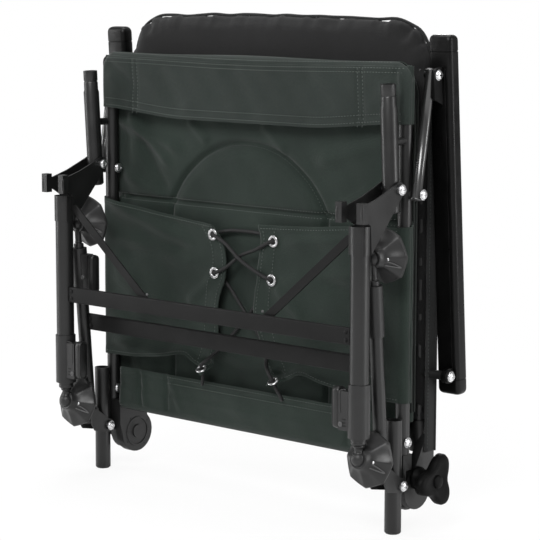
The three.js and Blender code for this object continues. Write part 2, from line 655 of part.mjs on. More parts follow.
// Flat diagonal brace from the head of the leg down to the crossbar, just behind the bar
function brace() {
  const { width, thickness, lowX, topX, topAlong, gap } = BRACE;
  const lowAlong = FRONT_LEG.bottom - FRONT_BAR.up;
  const run = Math.hypot(topX - lowX, lowAlong - topAlong);
  const outline = [
    ...arc(run, 0, width * HALF, -QUARTER, QUARTER, ARC_STEPS),
    ...arc(0, 0, width * HALF, QUARTER, 3 * QUARTER, ARC_STEPS),
  ];
  const y = CROSSBAR.thickness * HALF + gap - FRONT_BAR.out;
  const turn = Math.atan2(lowAlong - topAlong, topX - lowX);
  return faceSheet(outline, 0, thickness).rotateY(-turn).translate(lowX, y, -lowAlong);
}

// The pieces of one leg; its clamp box, bracket and how far its foot is turned up come with it
function legSide({ leg, name, side, box, bracketShape, footTurn }) {
  const foot = piece(name + "_foot_" + side, mudFoot(leg, radians(footTurn)), PLASTIC);
  foot.position.copy(onLeg(leg, ballAlong(leg)));
  foot.rotation.x = radians(footTurn);
  return [
    piece(name + "_leg_" + side, legTube(leg), FRAME_PAINT),
    piece(name + "_bracket_" + side, bracketShape, FRAME_PAINT),
    piece(name + "_clamp_" + side, legClamp(leg, box), PLASTIC),
    piece(name + "_lever_" + side, clampLever(leg, box), PLASTIC),
    piece(name + "_inner_leg_" + side, innerLeg(leg), FRAME_PAINT),
    foot,
  ];
}

// Seat cover

const coverReach = SEAT_TUBE.radius + COVER.play + COVER.cloth;
const coverFront = SEAT_TUBE.y - coverReach;
const coverHalf = SEAT_TUBE.x + coverReach;

// One cloth body: the panel behind the frame, the front band, the rear band and the side flaps
function seatCover() {
  const { cloth, back, bandLow, panelLow } = COVER;
  const top = SEAT_TUBE.top + coverReach;
  const round = SEAT_TUBE.bend + coverReach;
  const inner = coverHalf - cloth;
  const panel = faceSheet(archOutline(coverHalf, FLAP.lowOuter, top, round), back - cloth, back);
  const tongue = block(-REAR_BAR.end, REAR_BAR.end, back - cloth, back, panelLow, FLAP.lowOuter + OVERRUN);
  const band = cut(
    faceSheet(archOutline(coverHalf, bandLow, top, round), coverFront, back),
    faceSheet(archOutline(inner, bandLow - OVERRUN, top - cloth, round - cloth), coverFront + cloth, back - cloth),
  );
  return joined(panel, tongue, band, rearBand(), ...flaps());
}

// Band round the rear bar
function rearBand() {
  const { cloth, play, back, rearTop } = COVER;
  const low = REAR_BAR.z - REAR_BAR.radius - play - cloth;
  const half = REAR_BAR.end;
  const reach = half + OVERRUN;
  const outer = block(-half, half, coverFront, back, low, rearTop);
  const inner = block(-reach, reach, coverFront + cloth, back - cloth, low + cloth, rearTop + OVERRUN);
  return cut(outer, inner);
}

// Side flaps that wrap the seat tubes and are laced together across the middle
function flaps() {
  const { cloth, back } = COVER;
  const { topOuter, topInner, lowOuter, lowPeakX, lowPeak, lowInner } = FLAP;
  const { rightTop, rightMid, leftTop, leftMid, midZ } = FLAP_EDGE;
  const { hole, top, mid, low, landing } = EYELET;
  const [lowX, lowZ] = low;
  const outline = (side, topX, midX) => [
    [side * coverHalf, topOuter],
    [topX, topInner],
    [midX, midZ],
    [side * (lowX - landing), lowInner],
    [side * (lowX - landing), lowZ - landing * HALF],
    [side * lowX, lowZ - landing],
    [side * (lowX + landing), lowZ - landing * HALF],
    [side * lowPeakX, lowPeak],
    [side * coverHalf, lowOuter],
  ];
  const sheets = [
    faceSheet(outline(1, leftTop, leftMid), coverFront, coverFront + cloth),
    faceSheet(outline(-1, rightTop, rightMid).reverse(), coverFront, coverFront + cloth),
  ];
  const walls = [[-coverHalf, cloth - coverHalf], [coverHalf - cloth, coverHalf]].map(([x0, x1]) =>
    block(x0, x1, coverFront, back, lowOuter, topOuter),
  );
  const eyelets = [top, mid, low].flatMap(([x, z]) => [[x, z], [-x, z]]);
  const holes = eyelets.map(([x, z]) =>
    bar(point(x, coverFront - OVERRUN, z), point(x, coverFront + cloth + OVERRUN, z), hole),
  );
  return [...sheets.map((sheet) => cut(sheet, ...holes)), ...walls];
}

// Route of the lace, chosen by hand: up from one tail, across at the top, and down to the other
const LACE_ROUTE = [
  [-88, 4.5, 163], [-78, 4, 168], [-69.5, 4.2, 171], [-67, 9, 172], [-62, 14, 178], [-44, 17, 205], [-6, 18.5, 248],
  [30, 17, 286], [48, 13, 303], [53, 8, 308], [49, 4, 309.5], [30, 3.6, 318], [2, 1, 334], [-26, 3.4, 349],
  [-50, 4, 360], [-56, 8.4, 361.5], [-51, 13, 364], [-30, 15, 368], [0, 16, 369], [30, 15, 368], [51, 13, 364],
  [56, 8.4, 361.5], [50, 4, 359.5], [26, 4.4, 347], [2, 5, 336], [-24, 4.2, 321], [-48, 4, 309.5],
  [-53, 8, 308], [-48, 13, 302], [-30, 15, 286], [6, 14, 246], [44, 15, 206], [62, 13.5, 179],
  [67, 9, 172], [69.5, 4, 169.5], [76, 4, 162], [80, 4.5, 152],
];

function lace() {
  const route = LACE_ROUTE.map(([x, y, z]) => point(x, y, z));
  const extrudePath = new THREE.CatmullRomCurve3(route, false, "centripetal");
  return new THREE.ExtrudeGeometry(circle(LACE.radius, LACE.sides), { steps: LACE.steps, extrudePath });
}

// Cushions

// Closed pad: a border all round, and faces that swell out from it ring by ring
function pad(size) {
  const { low, top, front, back } = size;
  const outline = padOutline(size);
  const count = outline.length;
  const middleY = (front + back) * HALF;
  const middleZ = (low + top) * HALF;
  const depth = (back - front) * HALF;
  const face = (sign) => PAD_RING_SHARES.map((share, i) => ({ share, y: middleY + sign * depth * PAD_BULGE_SHARES[i] }));
  const rings = [...face(-1).reverse(), ...face(1)];
  const positions = rings.flatMap(({ share, y }) =>
    outline.flatMap(([x, z]) => [x * share, y, middleZ + (z - middleZ) * share]),
  );
  positions.push(0, front, middleZ, 0, back, middleZ);
  const last = rings.length - 1;
  const frontMiddle = rings.length * count;
  const at = (r, i) => r * count + (i % count);
  const index = [];
  for (let i = 0; i < count; i++) {
    index.push(at(0, i + 1), at(0, i), frontMiddle);
    index.push(at(last, i), at(last, i + 1), frontMiddle + 1);
    for (let r = 0; r < last; r++) {
      index.push(at(r, i), at(r, i + 1), at(r + 1, i));
      index.push(at(r, i + 1), at(r + 1, i + 1), at(r + 1, i));
    }
  }
  const geometry = new THREE.BufferGeometry();
  geometry.setAttribute("position", new THREE.Float32BufferAttribute(positions, 3));
  return geometry.setIndex(index.reverse());
}

// Outline of a pad: rounded corners, and sides that draw in between them
function padOutline({ half, low, top, round, drawn }) {
  const middle = (low + top) * HALF;
  const corners = [
    arc(half - round, top - round, round, 0, QUARTER, ARC_STEPS),
    arc(round - half, top - round, round, QUARTER, 2 * QUARTER, ARC_STEPS),
    arc(round - half, low + round, round, 2 * QUARTER, 3 * QUARTER, ARC_STEPS),
    arc(half - round, low + round, round, 3 * QUARTER, 4 * QUARTER, ARC_STEPS),
  ];
  return corners.flatMap((corner, i) => {
    const [x0, z0] = corner[corner.length - 1];
    const [x1, z1] = corners[(i + 1) % corners.length][0];
    const level = i % 2 === 0;
    const between = Array.from({ length: PAD_SIDE_POINTS - 1 }, (_, s) => {
      const share = (s + 1) / PAD_SIDE_POINTS;
      const pull = drawn * Math.sin(Math.PI * share);
      const x = x0 + (x1 - x0) * share;
      const z = z0 + (z1 - z0) * share;
      return level ? [x, z - Math.sign(z - middle) * pull] : [x - Math.sign(x) * pull, z];
    });
    return [...corner, ...between];
  });
}

// Both cushions stop short of the hinges at their lower corners
function notches({ low, front, back }) {
  const reach = BACK_PAD.half + OVERRUN;
  return [[-reach, -PAD_NOTCH.x], [PAD_NOTCH.x, reach]].map(([x0, x1]) =>
    block(x0, x1, front - OVERRUN, back + OVERRUN, low - OVERRUN, PAD_NOTCH.top),
  );
}

const seatCushion = () => cut(pad(SEAT_PAD), ...notches(SEAT_PAD));

// The back cushion is sewn round the back tube and the arm pins
function backCushion() {
  const groove = tube(bowStations({ ...BACK_TUBE, low: BACK_TUBE.low - OVERRUN }), BACK_TUBE.radius + GAP);
  const pins = [[-coverHalf, -BACK_TUBE.x], [BACK_TUBE.x, coverHalf]].map(([x0, x1]) =>
    acrossBar(x0, x1, armPivot.y, armPivot.z, ARM_PIN.radius + GAP),
  );
  return cut(pad(BACK_PAD), groove, ...pins, ...notches(BACK_PAD));
}

// Back cover: one cloth panel behind the cushion that returns along each side of it
function backCover() {
  const { cloth, half, front, back, low, top, corner } = BACK_COVER;
  const edge = (inset) => [
    [half - inset, front],
    [half - inset, back - corner - inset * HALF],
    [half - corner - inset * HALF, back - inset],
  ];
  const mirror = (points) => points.map(([x, y]) => [-x, y]);
  const section = [...edge(0), ...mirror(edge(0)).reverse(), ...mirror(edge(cloth)), ...edge(cloth).reverse()];
  const shape = new THREE.Shape(section.map(([x, y]) => new THREE.Vector2(x, y)));
  const sheet = new THREE.ExtrudeGeometry(shape, { depth: top - low, bevelEnabled: false }).translate(0, 0, low);
  const reach = half + OVERRUN;
  return cut(sheet, acrossBar(-reach, reach, armPivot.y, armPivot.z, ARM_PIN.radius + GAP));
}

// Assembly

// Group at a leg frame's pivot; the rear frame is turned over and leans
function legGroup(leg, name) {
  const group = new THREE.Group();
  group.position.set(0, leg.pivotY, leg.pivotZ);
  if (name === "rear") {
    group.rotation.x = radians(REAR_LEAN);
    group.scale.z = -1;
  }
  return group;
}

const root = new THREE.Group();
root.add(
  piece("seat_bow", seatBow(), FRAME_PAINT),
  piece("seat_rear_bar", seatRearBar(), FRAME_PAINT),
  piece("seat_cover", seatCover(), CLOTH),
  piece("lace", lace(), CORD),
  piece("seat_cushion", seatCushion(), CLOTH),
  piece("back_bow", backBow(), FRAME_PAINT),
  piece("back_cushion", backCushion(), DARK_CLOTH),
  piece("back_cover", backCover(), DARK_CLOTH),
);

const LEGS = [
  { leg: FRONT_LEG, name: "front", box: FRONT_BOX, shape: frontBracket, place: FRONT_BAR, footTurn: FRONT_FOOT_TURN },
  { leg: REAR_LEG, name: "rear", box: REAR_BOX, shape: rearBracket, place: REAR_CROSS, footTurn: REAR_FOOT_TURN },
];

for (const [side, sign] of [["left", 1], ["right", -1]]) {
  const half = new THREE.Group();
  half.scale.x = sign;
  half.add(
    piece("rear_rail_" + side, rearRail(), FRAME_PAINT),
    piece("front_rail_" + side, frontRail(), FRAME_PAINT),
    piece("rail_spacer_" + side, railSpacer(), PLASTIC),
    piece("hinge_seat_arm_" + side, hingeSeatArm(), PLASTIC),
    piece("hinge_back_arm_" + side, hingeBackArm(), PLASTIC),
    piece("recline_knob_" + side, reclineKnob(), PLASTIC),
    piece("arm_pin_" + side, armPin(), FRAME_PAINT),
    piece("strut_" + side, strut(), GLOSS_PAINT),
    armGroup(side),
  );
  for (const { leg, name, box, shape, footTurn } of LEGS) {
    const bolt = boltAcross(PLATE.inner - GAP, PLATE.outer + GAP, leg.pivotY, leg.pivotZ);
    const group = legGroup(leg, name);
    group.add(...legSide({ leg, name, side, box, bracketShape: shape(), footTurn }));
    if (name === "front") group.add(piece("front_brace_" + side, brace(), FRAME_PAINT));
    half.add(group, piece(name + "_pivot_bolt_" + side, bolt, ZINC));
  }
  root.add(half);
}

for (const { leg, name, place } of LEGS) {
  const group = legGroup(leg, name);
  group.add(piece(name + "_crossbar", crossbar(leg, place), FRAME_PAINT));
  root.add(group);
}

// The origin is on the floor, under the middle of the whole chair
root.updateMatrixWorld(true);
const middle = new THREE.Box3().setFromObject(root, true).getCenter(new THREE.Vector3());
root.position.set(-middle.x, -middle.y, 0);

export default root;
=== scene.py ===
"""Folding carp fishing chair, folded flat: the finish of every piece, its cloth, its lace and its small hardware.

Metres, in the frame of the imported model: +Z up the folded chair, -Y the side of the leg frames, +X the sitter's left.
"""
import json
import math

import bmesh
import bpy
import numpy as np
from mathutils import Matrix, Vector


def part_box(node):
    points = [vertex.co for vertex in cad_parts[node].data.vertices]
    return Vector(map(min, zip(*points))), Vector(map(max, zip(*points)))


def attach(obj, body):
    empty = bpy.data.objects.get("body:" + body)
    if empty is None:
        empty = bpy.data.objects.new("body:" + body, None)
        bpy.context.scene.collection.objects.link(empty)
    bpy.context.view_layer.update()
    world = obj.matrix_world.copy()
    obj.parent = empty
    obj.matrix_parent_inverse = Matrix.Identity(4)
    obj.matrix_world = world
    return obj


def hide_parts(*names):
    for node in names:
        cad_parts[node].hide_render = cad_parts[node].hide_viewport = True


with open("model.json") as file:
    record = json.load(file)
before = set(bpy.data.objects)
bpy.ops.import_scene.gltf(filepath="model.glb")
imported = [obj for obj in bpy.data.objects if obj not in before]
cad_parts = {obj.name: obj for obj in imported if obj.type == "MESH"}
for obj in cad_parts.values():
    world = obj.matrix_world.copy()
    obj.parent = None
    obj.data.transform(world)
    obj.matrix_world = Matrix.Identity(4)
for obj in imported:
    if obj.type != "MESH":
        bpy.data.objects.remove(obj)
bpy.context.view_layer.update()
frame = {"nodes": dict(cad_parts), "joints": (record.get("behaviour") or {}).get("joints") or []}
scene = bpy.context.scene

HALF = 0.5
QUARTER = math.pi / 2
SIDES = {"left": 1, "right": -1}

# Camera, as solved from the photograph's straight edges
CAMERA_PLACE = (1.8952, -2.0466, 0.7079)
CAMERA_AZIMUTH = math.radians(42)
CAMERA_ELEVATION = math.radians(7.97)
CAMERA_ROLL = math.radians(0.128)
CAMERA_LENS = 137.9

# Seat frame and cover, read from the frame where it holds them
seat_low, seat_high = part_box("seat_bow")
cover_low, cover_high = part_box("seat_cover")
TUBE_RADIUS = 0.0095
SEAT_Y = (seat_low.y + seat_high.y) * HALF
SEAT_X = seat_high.x - TUBE_RADIUS
COVER_HALF = cover_high.x
COVER_FRONT = cover_low.y
COVER_BACK = cover_high.y
COVER_TOP = cover_high.z
COVER_LOW = cover_low.z
COVER_WRAP = SEAT_Y - COVER_FRONT
CLOTH = 0.0011
REAR_HALF = 0.2464
REAR_TOP = 0.152

# Marks sewn on the seat cover
BAND = {
    "low": 0.517, "rise": 0.011, "corner": 0.026, "stitch": 0.0135, "hem": 0.6015, "hem_dip": 0.004, "layer": 0.0015,
}
ROLL_LOW = 0.570
BAND_SEAMS = (-0.2145, -0.2055, 0.199, 0.207)
ARCH = {"x": -0.011, "z": 0.3285, "radius": 0.160}
PANEL_SEAM = 0.3995
REAR_SEAMS = (0.143, 0.1515)
FLAP_TOP = 0.400
FLAP_LOW = 0.169
FLAP_GAP = 0.035

# Stitches, piping and eyelets
THREAD = 0.00042
STITCH = 0.0025
STITCH_PITCH = 0.0048
PIPING = 0.0021
EYELET_RING = 0.0063
EYELET_WIRE = 0.0021

# Facets are welded at the first, and edges sharper than the others stay sharp
WELD = 0.00001
CREASE = math.radians(32)
LOFT_CREASE = math.radians(50)


# Meshes

def new_object(name, data):
    obj = bpy.data.objects.new(name, data)
    scene.collection.objects.link(obj)
    return obj


def smooth_all(mesh):
    mesh.polygons.foreach_set("use_smooth", [True] * len(mesh.polygons))


def smooth_mesh(name, points, faces):
    mesh = bpy.data.meshes.new(name)
    mesh.from_pydata([tuple(p) for p in points], [], faces)
    mesh.update()
    smooth_all(mesh)
    return mesh


def evaluated_mesh(obj):
    """A new mesh of an object as its modifiers leave it."""
    bpy.context.view_layer.update()
    return bpy.data.meshes.new_from_object(obj.evaluated_get(bpy.context.evaluated_depsgraph_get()))


def circle(radius, count):
    turns = [2 * math.pi * i / count for i in range(count)]
    return [(radius * math.cos(turn), radius * math.sin(turn)) for turn in turns]


def moved_faces(faces, first):
    return [tuple(first + n for n in face) for face in faces]


def grid_faces(rows, columns, wrap=False):
    across = columns if wrap else columns - 1
    return [
        (r * columns + c, r * columns + (c + 1) % columns, (r + 1) * columns + (c + 1) % columns, (r + 1) * columns + c)
        for r in range(rows - 1)
        for c in range(across)
    ]


def tube_faces(rings, around):
    """Faces along a stack of rings, with a cap at each end."""
    caps = [tuple(reversed(range(around))), tuple((rings - 1) * around + i for i in range(around))]
    return grid_faces(rings, around, wrap=True) + caps


def spread(low, high, count, bias=0.0):
    """Numbers from low to high, closer together at both ends as bias goes from 0 to 1."""
    t = np.linspace(0, 1, count)
    return low + (high - low) * ((1 - bias) * t + bias * (1 - np.cos(math.pi * t)) * HALF)


def sheet_object(name, x, y, z):
    """A cloth sheet through a grid of places, thickened towards its back."""
    points = np.stack([x.ravel(), y.ravel(), z.ravel()], axis=1)
    obj = new_object(name, smooth_mesh(name, points, grid_faces(*x.shape)))
    solidify = obj.modifiers.new("thickness", "SOLIDIFY")
    solidify.thickness = CLOTH
    solidify.offset = -1
    return obj


def tube_object(name, points, radius, sides=10, closed=False):
    """A smooth tube through places, as a curve turned to a mesh."""
    curve = bpy.data.curves.new(name, "CURVE")
    curve.dimensions = "3D"
    curve.bevel_depth = radius
    curve.bevel_resolution = max(sides // 4, 1)
    curve.use_fill_caps = True
    spline = curve.splines.new("POLY")
    spline.points.add(len(points) - 1)
    for target, place in zip(spline.points, points):
        target.co = (*place, 1)
    spline.use_cyclic_u = closed
    made = new_object(name + "_curve", curve)
    mesh = evaluated_mesh(made)
    bpy.data.objects.remove(made)
    mesh.name = name
    smooth_all(mesh)
    return new_object(name, mesh)


def smooth_path(points, steps=8):
    """Points on a Catmull-Rom curve through the given ones."""
    given = [Vector(p) for p in points]
    ends = [given[0] * 2 - given[1]] + given + [given[-1] * 2 - given[-2]]
    path = []
    for a, b, c, d in zip(ends, ends[1:], ends[2:], ends[3:]):
        for i in range(steps):
            t = i / steps
            bend = (2 * a - 5 * b + 4 * c - d) * t**2 + (3 * b - a - 3 * c + d) * t**3
            path.append(HALF * (2 * b + (c - a) * t + bend))
    return path + [given[-1]]


def lathe_mesh(name, profile, sides=32):
    """A closed solid of revolution about Z, from (radius, height) pairs that start and end on the axis."""
    inner = profile[1:-1]
    points = [(0, 0, profile[0][1])]
    for radius, height in inner:
        points += [(x, y, height) for x, y in circle(radius, sides)]
    points.append((0, 0, profile[-1][1]))
    faces = [(0, 1 + (i + 1) % sides, 1 + i) for i in range(sides)]
    faces += moved_faces(grid_faces(len(inner), sides, wrap=True), 1)
    last = len(points) - 1
    start = last - sides
    faces += [(last, start + i, start + (i + 1) % sides) for i in range(sides)]
    return smooth_mesh(name, points, faces)


def right_way_out(mesh):
    shape = bmesh.new()
    shape.from_mesh(mesh)
    bmesh.ops.recalc_face_normals(shape, faces=shape.faces)
    shape.to_mesh(mesh)
    shape.free()


def loft_mesh(name, rings, sharp=True):
    """A closed form through rings of places, capped at both ends."""
    points = [place for ring in rings for place in ring]
    mesh = smooth_mesh(name, points, tube_faces(len(rings), len(rings[0])))
    right_way_out(mesh)
    smooth_all(mesh)
    if sharp:
        mesh.set_sharp_from_angle(angle=LOFT_CREASE)
    return mesh


def rounded_ring(half_a, half_b, radius, steps=7):
    """Places round a rectangle with round corners, counted from its first corner."""
    ring = []
    for i, (sa, sb) in enumerate(((1, 1), (-1, 1), (-1, -1), (1, -1))):
        for turn in np.linspace(QUARTER * i, QUARTER * (i + 1), steps):
            a = sa * (half_a - radius) + radius * math.cos(turn)
            ring.append((a, sb * (half_b - radius) + radius * math.sin(turn)))
    return ring


def box_object(name, size):
    mesh = bpy.data.meshes.new(name)
    shape = bmesh.new()
    bmesh.ops.create_cube(shape, size=1)
    bmesh.ops.scale(shape, vec=size, verts=shape.verts)
    shape.to_mesh(mesh)
    shape.free()
    return new_object(name, mesh)


def cut_away(obj, cutter, solver="EXACT", sharp=True):
    """Cuts one object from another and drops the cutter."""
    cut = obj.modifiers.new("cut", "BOOLEAN")
    cut.object = cutter
    cut.operation = "DIFFERENCE"
    cut.solver = solver
    made = evaluated_mesh(obj)
    obj.modifiers.clear()
    smooth_all(made)
    if sharp:
        made.set_sharp_from_angle(angle=CREASE)
    obj.data = made
    bpy.data.objects.remove(cutter)


def shape_with(mesh, *modifiers):
    """A mesh after the given modifiers, each as its kind and settings."""
    obj = new_object("shaping", mesh)
    for kind, settings in modifiers:
        modifier = obj.modifiers.new(kind, kind)
        for key, value in settings.items():
            setattr(modifier, key, value)
    made = evaluated_mesh(obj)
    bpy.data.objects.remove(obj)
    return made


def turned(axis):
    """The turn that takes +Z to an axis."""
    return Vector((0, 0, 1)).rotation_difference(Vector(axis)).to_matrix().to_4x4()


def placed(name, mesh, place, axis, material, body):
    obj = new_object(name, mesh)
    obj.matrix_world = Matrix.Translation(place) @ turned(axis)
    if not mesh.materials:
        mesh.materials.append(material)
    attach(obj, body)
    return obj


def dress(obj, material, body):
    obj.data.materials.clear()
    obj.data.materials.append(material)
    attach(obj, body)
    return obj


# Materials

WAVE_RATE = 20
WEAVE_PITCH = 0.0011
BRAID_PITCH = 0.0016


def new_material(name, **inputs):
    material = bpy.data.materials.new(name)
    material.use_nodes = True
    shader = material.node_tree.nodes["Principled BSDF"]
    for key, value in inputs.items():
        shader.inputs[key.replace("_", " ")].default_value = value
    return material, material.node_tree, shader


def node(tree, kind, inputs=(), **settings):
    made = tree.nodes.new(kind)
    for key, value in settings.items():
        setattr(made, key, value)
    for key, value in dict(inputs).items():
        if isinstance(value, bpy.types.NodeSocket):
            tree.links.new(value, made.inputs[key])
        else:
            made.inputs[key].default_value = value
    return made


def place_of(tree):
    return node(tree, "ShaderNodeTexCoord").outputs["Object"]


def noise(tree, scale, detail=3, roughness=0.55):
    return node(
        tree, "ShaderNodeTexNoise", {"Vector": place_of(tree), "Scale": scale, "Detail": detail, "Roughness": roughness}
    ).outputs["Fac"]


def ramp(tree, factor, low, high, start=0.0, end=1.0):
    """A value or colour that goes from low to high as the factor goes from start to end."""
    made = node(tree, "ShaderNodeValToRGB", {"Fac": factor})
    for element, place, level in zip(made.color_ramp.elements, (start, end), (low, high)):
        element.position = place
        element.color = level if hasattr(level, "__len__") else (level, level, level, 1)
    return made.outputs["Color"]


def mixed(tree, factor, first, second, blend="MIX"):
    """Two colours mixed by a factor, each a socket or a value."""
    made = node(tree, "ShaderNodeMix", data_type="RGBA", blend_type=blend)
    colours = [s for s in made.inputs if s.type == "RGBA"]
    for socket, value in ((made.inputs[0], factor), (colours[0], first), (colours[1], second)):
        if isinstance(value, bpy.types.NodeSocket):
            tree.links.new(value, socket)
        else:
            socket.default_value = value
    return next(s for s in made.outputs if s.type == "RGBA")


def maths(tree, operation, first, second):
    return node(tree, "ShaderNodeMath", {0: first, 1: second}, operation=operation).outputs[0]


def bands(tree, direction, pitch, kind="SIN"):
    scale = 2 * math.pi / (WAVE_RATE * pitch)
    inputs = {"Vector": place_of(tree), "Scale": scale, "Distortion": 0.35, "Detail": 1.0, "Detail Scale": 1.5}
    return node(tree, "ShaderNodeTexWave", inputs, bands_direction=direction, wave_profile=kind).outputs["Fac"]


def cloudy(tree, scale, detail, low, high, start, end, roughness=0.55):
    """A value or colour that drifts from low to high with soft noise."""
    return ramp(tree, noise(tree, scale, detail, roughness), low, high, start, end)


def bump(tree, shader, height, strength, distance):
    made = node(tree, "ShaderNodeBump", {"Height": height, "Strength": strength, "Distance": distance})
    tree.links.new(made.outputs["Normal"], shader.inputs["Normal"])


def grey(level):
    return (level, level, level * 1.01, 1)


def cloth_material(name, dark, light, weave=WEAVE_PITCH):
    """Coarse woven polyester: a plain weave, uneven dye and a faint nap."""
    material, tree, shader = new_material(name, Roughness=0.86, Specular_IOR_Level=0.25)
    shader.inputs["Sheen Weight"].default_value = 0.12
    shader.inputs["Sheen Roughness"].default_value = 0.45
    threads = maths(tree, "ADD", bands(tree, "X", weave), bands(tree, "Z", weave))
    threads = maths(tree, "ADD", threads, bands(tree, "Y", weave))
    body = mixed(tree, cloudy(tree, 9, 5, 0, 1, 0.3, 0.72), dark, light)
    fibres = cloudy(tree, 900, 2, 0.75, 1.2, 0.35, 0.65)
    tree.links.new(mixed(tree, 1, body, fibres, "MULTIPLY"), shader.inputs["Base Color"])
    puckers = maths(tree, "MULTIPLY", noise(tree, 55, 3), 1.5)
    bump(tree, shader, maths(tree, "ADD", threads, puckers), 0.32, 0.00045)
    return material


def paint_material(name, level, roughness, grain=1400, coat=0.0, shine=0.5):
    """Painted steel tube: fine orange peel, uneven gloss and a few rubbed marks."""
    material, tree, shader = new_material(name, Metallic=0.0, Specular_IOR_Level=shine)
    shader.inputs["Coat Weight"].default_value = coat
    shader.inputs["Coat Roughness"].default_value = 0.16
    rubbed = cloudy(tree, 160, 6, 0, 1, 0.66, 0.74, 0.75)
    body = mixed(tree, cloudy(tree, 12, 4, 0, 1, 0.35, 0.7), grey(level * 0.85), grey(level * 1.15))
    gloss = cloudy(tree, 30, 4, roughness - 0.06, roughness + 0.08, 0.3, 0.7)
    tree.links.new(mixed(tree, rubbed, body, grey(level * 1.8)), shader.inputs["Base Color"])
    tree.links.new(gloss, shader.inputs["Roughness"])
    bump(tree, shader, noise(tree, grain, 2), 0.12, 0.0002)
    return material


def plastic_material(name, level, roughness, grain=2600, shine=0.45):
    """Moulded nylon with a fine spark-eroded grain."""
    material, tree, shader = new_material(name, Specular_IOR_Level=shine)
    body = mixed(tree, cloudy(tree, 25, 5, 0, 1, 0.35, 0.7), grey(level * 0.8), grey(level * 1.25))
    gloss = cloudy(tree, 40, 3, roughness - 0.08, roughness + 0.1, 0.3, 0.7)
    tree.links.new(body, shader.inputs["Base Color"])
    tree.links.new(gloss, shader.inputs["Roughness"])
    bump(tree, shader, noise(tree, grain, 2), 0.2, 0.00025)
    return material


def metal_material(name, level, roughness):
    """Bright plated steel with fine turning marks and a slightly cloudy plating."""
    material, tree, shader = new_material(name, Metallic=1.0)
    body = mixed(tree, cloudy(tree, 220, 4, 0, 1, 0.35, 0.65), grey(level * 0.82), grey(level))
    gloss = cloudy(tree, 500, 3, roughness - 0.08, roughness + 0.12, 0.3, 0.7)
    tree.links.new(body, shader.inputs["Base Color"])
    tree.links.new(gloss, shader.inputs["Roughness"])
    bump(tree, shader, noise(tree, 3000, 2), 0.1, 0.0001)
    return material


def cord_material():
    """Round black elastic cord in a braided sleeve, its colour lighter on the strands and darker between them as
    painted highlight and shade.
    """
    material, tree, shader = new_material("cord", Roughness=0.7, Specular_IOR_Level=0.3)
    braid = maths(tree, "MULTIPLY", bands(tree, "DIAGONAL", BRAID_PITCH), bands(tree, "X", BRAID_PITCH))
    # Colour follows the braid's height: lighter strand tops and darker gaps are painted highlight and shade
    tree.links.new(mixed(tree, braid, grey(0.008), grey(0.03)), shader.inputs["Base Color"])
    bump(tree, shader, braid, 0.5, 0.0004)
    return material


GREEN_CLOTH = cloth_material("green_cloth", (0.0106, 0.0175, 0.0138, 1), (0.0165, 0.0262, 0.0206, 1))
BAND_CLOTH = cloth_material("band_cloth", (0.0132, 0.0186, 0.0158, 1), (0.0190, 0.0262, 0.0226, 1))
CHARCOAL_CLOTH = cloth_material("charcoal_cloth", (0.0082, 0.0082, 0.0084, 1), (0.0130, 0.0130, 0.0133, 1), 0.0009)
BLACK_CLOTH = cloth_material("black_cloth", (0.0100, 0.0106, 0.0106, 1), (0.0170, 0.0176, 0.0176, 1))
PIPING_CLOTH = cloth_material("piping_cloth", (0.0090, 0.0115, 0.0100, 1), (0.0150, 0.0180, 0.0165, 1), 0.0006)
THREAD_CLOTH = cloth_material("thread", (0.085, 0.098, 0.090, 1), (0.14, 0.155, 0.145, 1), 0.0005)
# Dark thread for the back's stitches on black cloth, and for the arch on the green panel, where its darkness is partly
# painted shade along the seam's groove
DARK_THREAD_AND_SEAM_SHADE = cloth_material("dark_thread_and_painted_seam_shade", (0.042, 0.050, 0.046, 1), (0.066, 0.075, 0.070, 1), 0.0005)
CORD = cord_material()
PAINT = paint_material("satin_black_paint", 0.0080, 0.36, shine=0.46)
# Duller copy of the frame's black paint for the crossbars, braces and their rivets; its darker base colour is black
# paint with painted shade added, so the flat bars stay as dark as they look under the light
SHADED_BAR_PAINT = paint_material("dull_black_paint_with_painted_shade", 0.0052, 0.52, shine=0.16)
GLOSS = paint_material("gloss_black_paint", 0.012, 0.30, 1400, 1.0)
PLASTIC = plastic_material("black_nylon", 0.0075, 0.42)
# Black plastic of the arm rests and their brackets; its base colour is the arms' black with painted shade added, as
# dark as their faces look where they turn from the light
SHADED_BEAM_PLASTIC = plastic_material("beam_plastic_with_painted_shade", 0.0016, 0.34, 1800, 0.2)
KNOB_PLASTIC = plastic_material("knob_plastic", 0.0022, 0.5, 1800, 0.08)
FOOT_PLASTIC = plastic_material("foot_plastic", 0.0145, 0.38, 1500, 0.38)
# Near-black finish for flat discs and insets laid where holes and slots are: painted shade in place of the openings
HOLE_SHADE = plastic_material("painted_hole_shade", 0.002, 0.8)
# Pale grey paint for the brace rivets, the small clamp screws and the feet's ribs; on the ribs it is a painted
# highlight along their ridge
PALE_GREY_AND_HIGHLIGHT = paint_material("pale_grey_and_painted_highlight", 0.075, 0.4)
ZINC = metal_material("zinc", 0.78, 0.28)
NICKEL = metal_material("nickel", 0.52, 0.26)


# The frame's own pieces keep their shape and get their finish

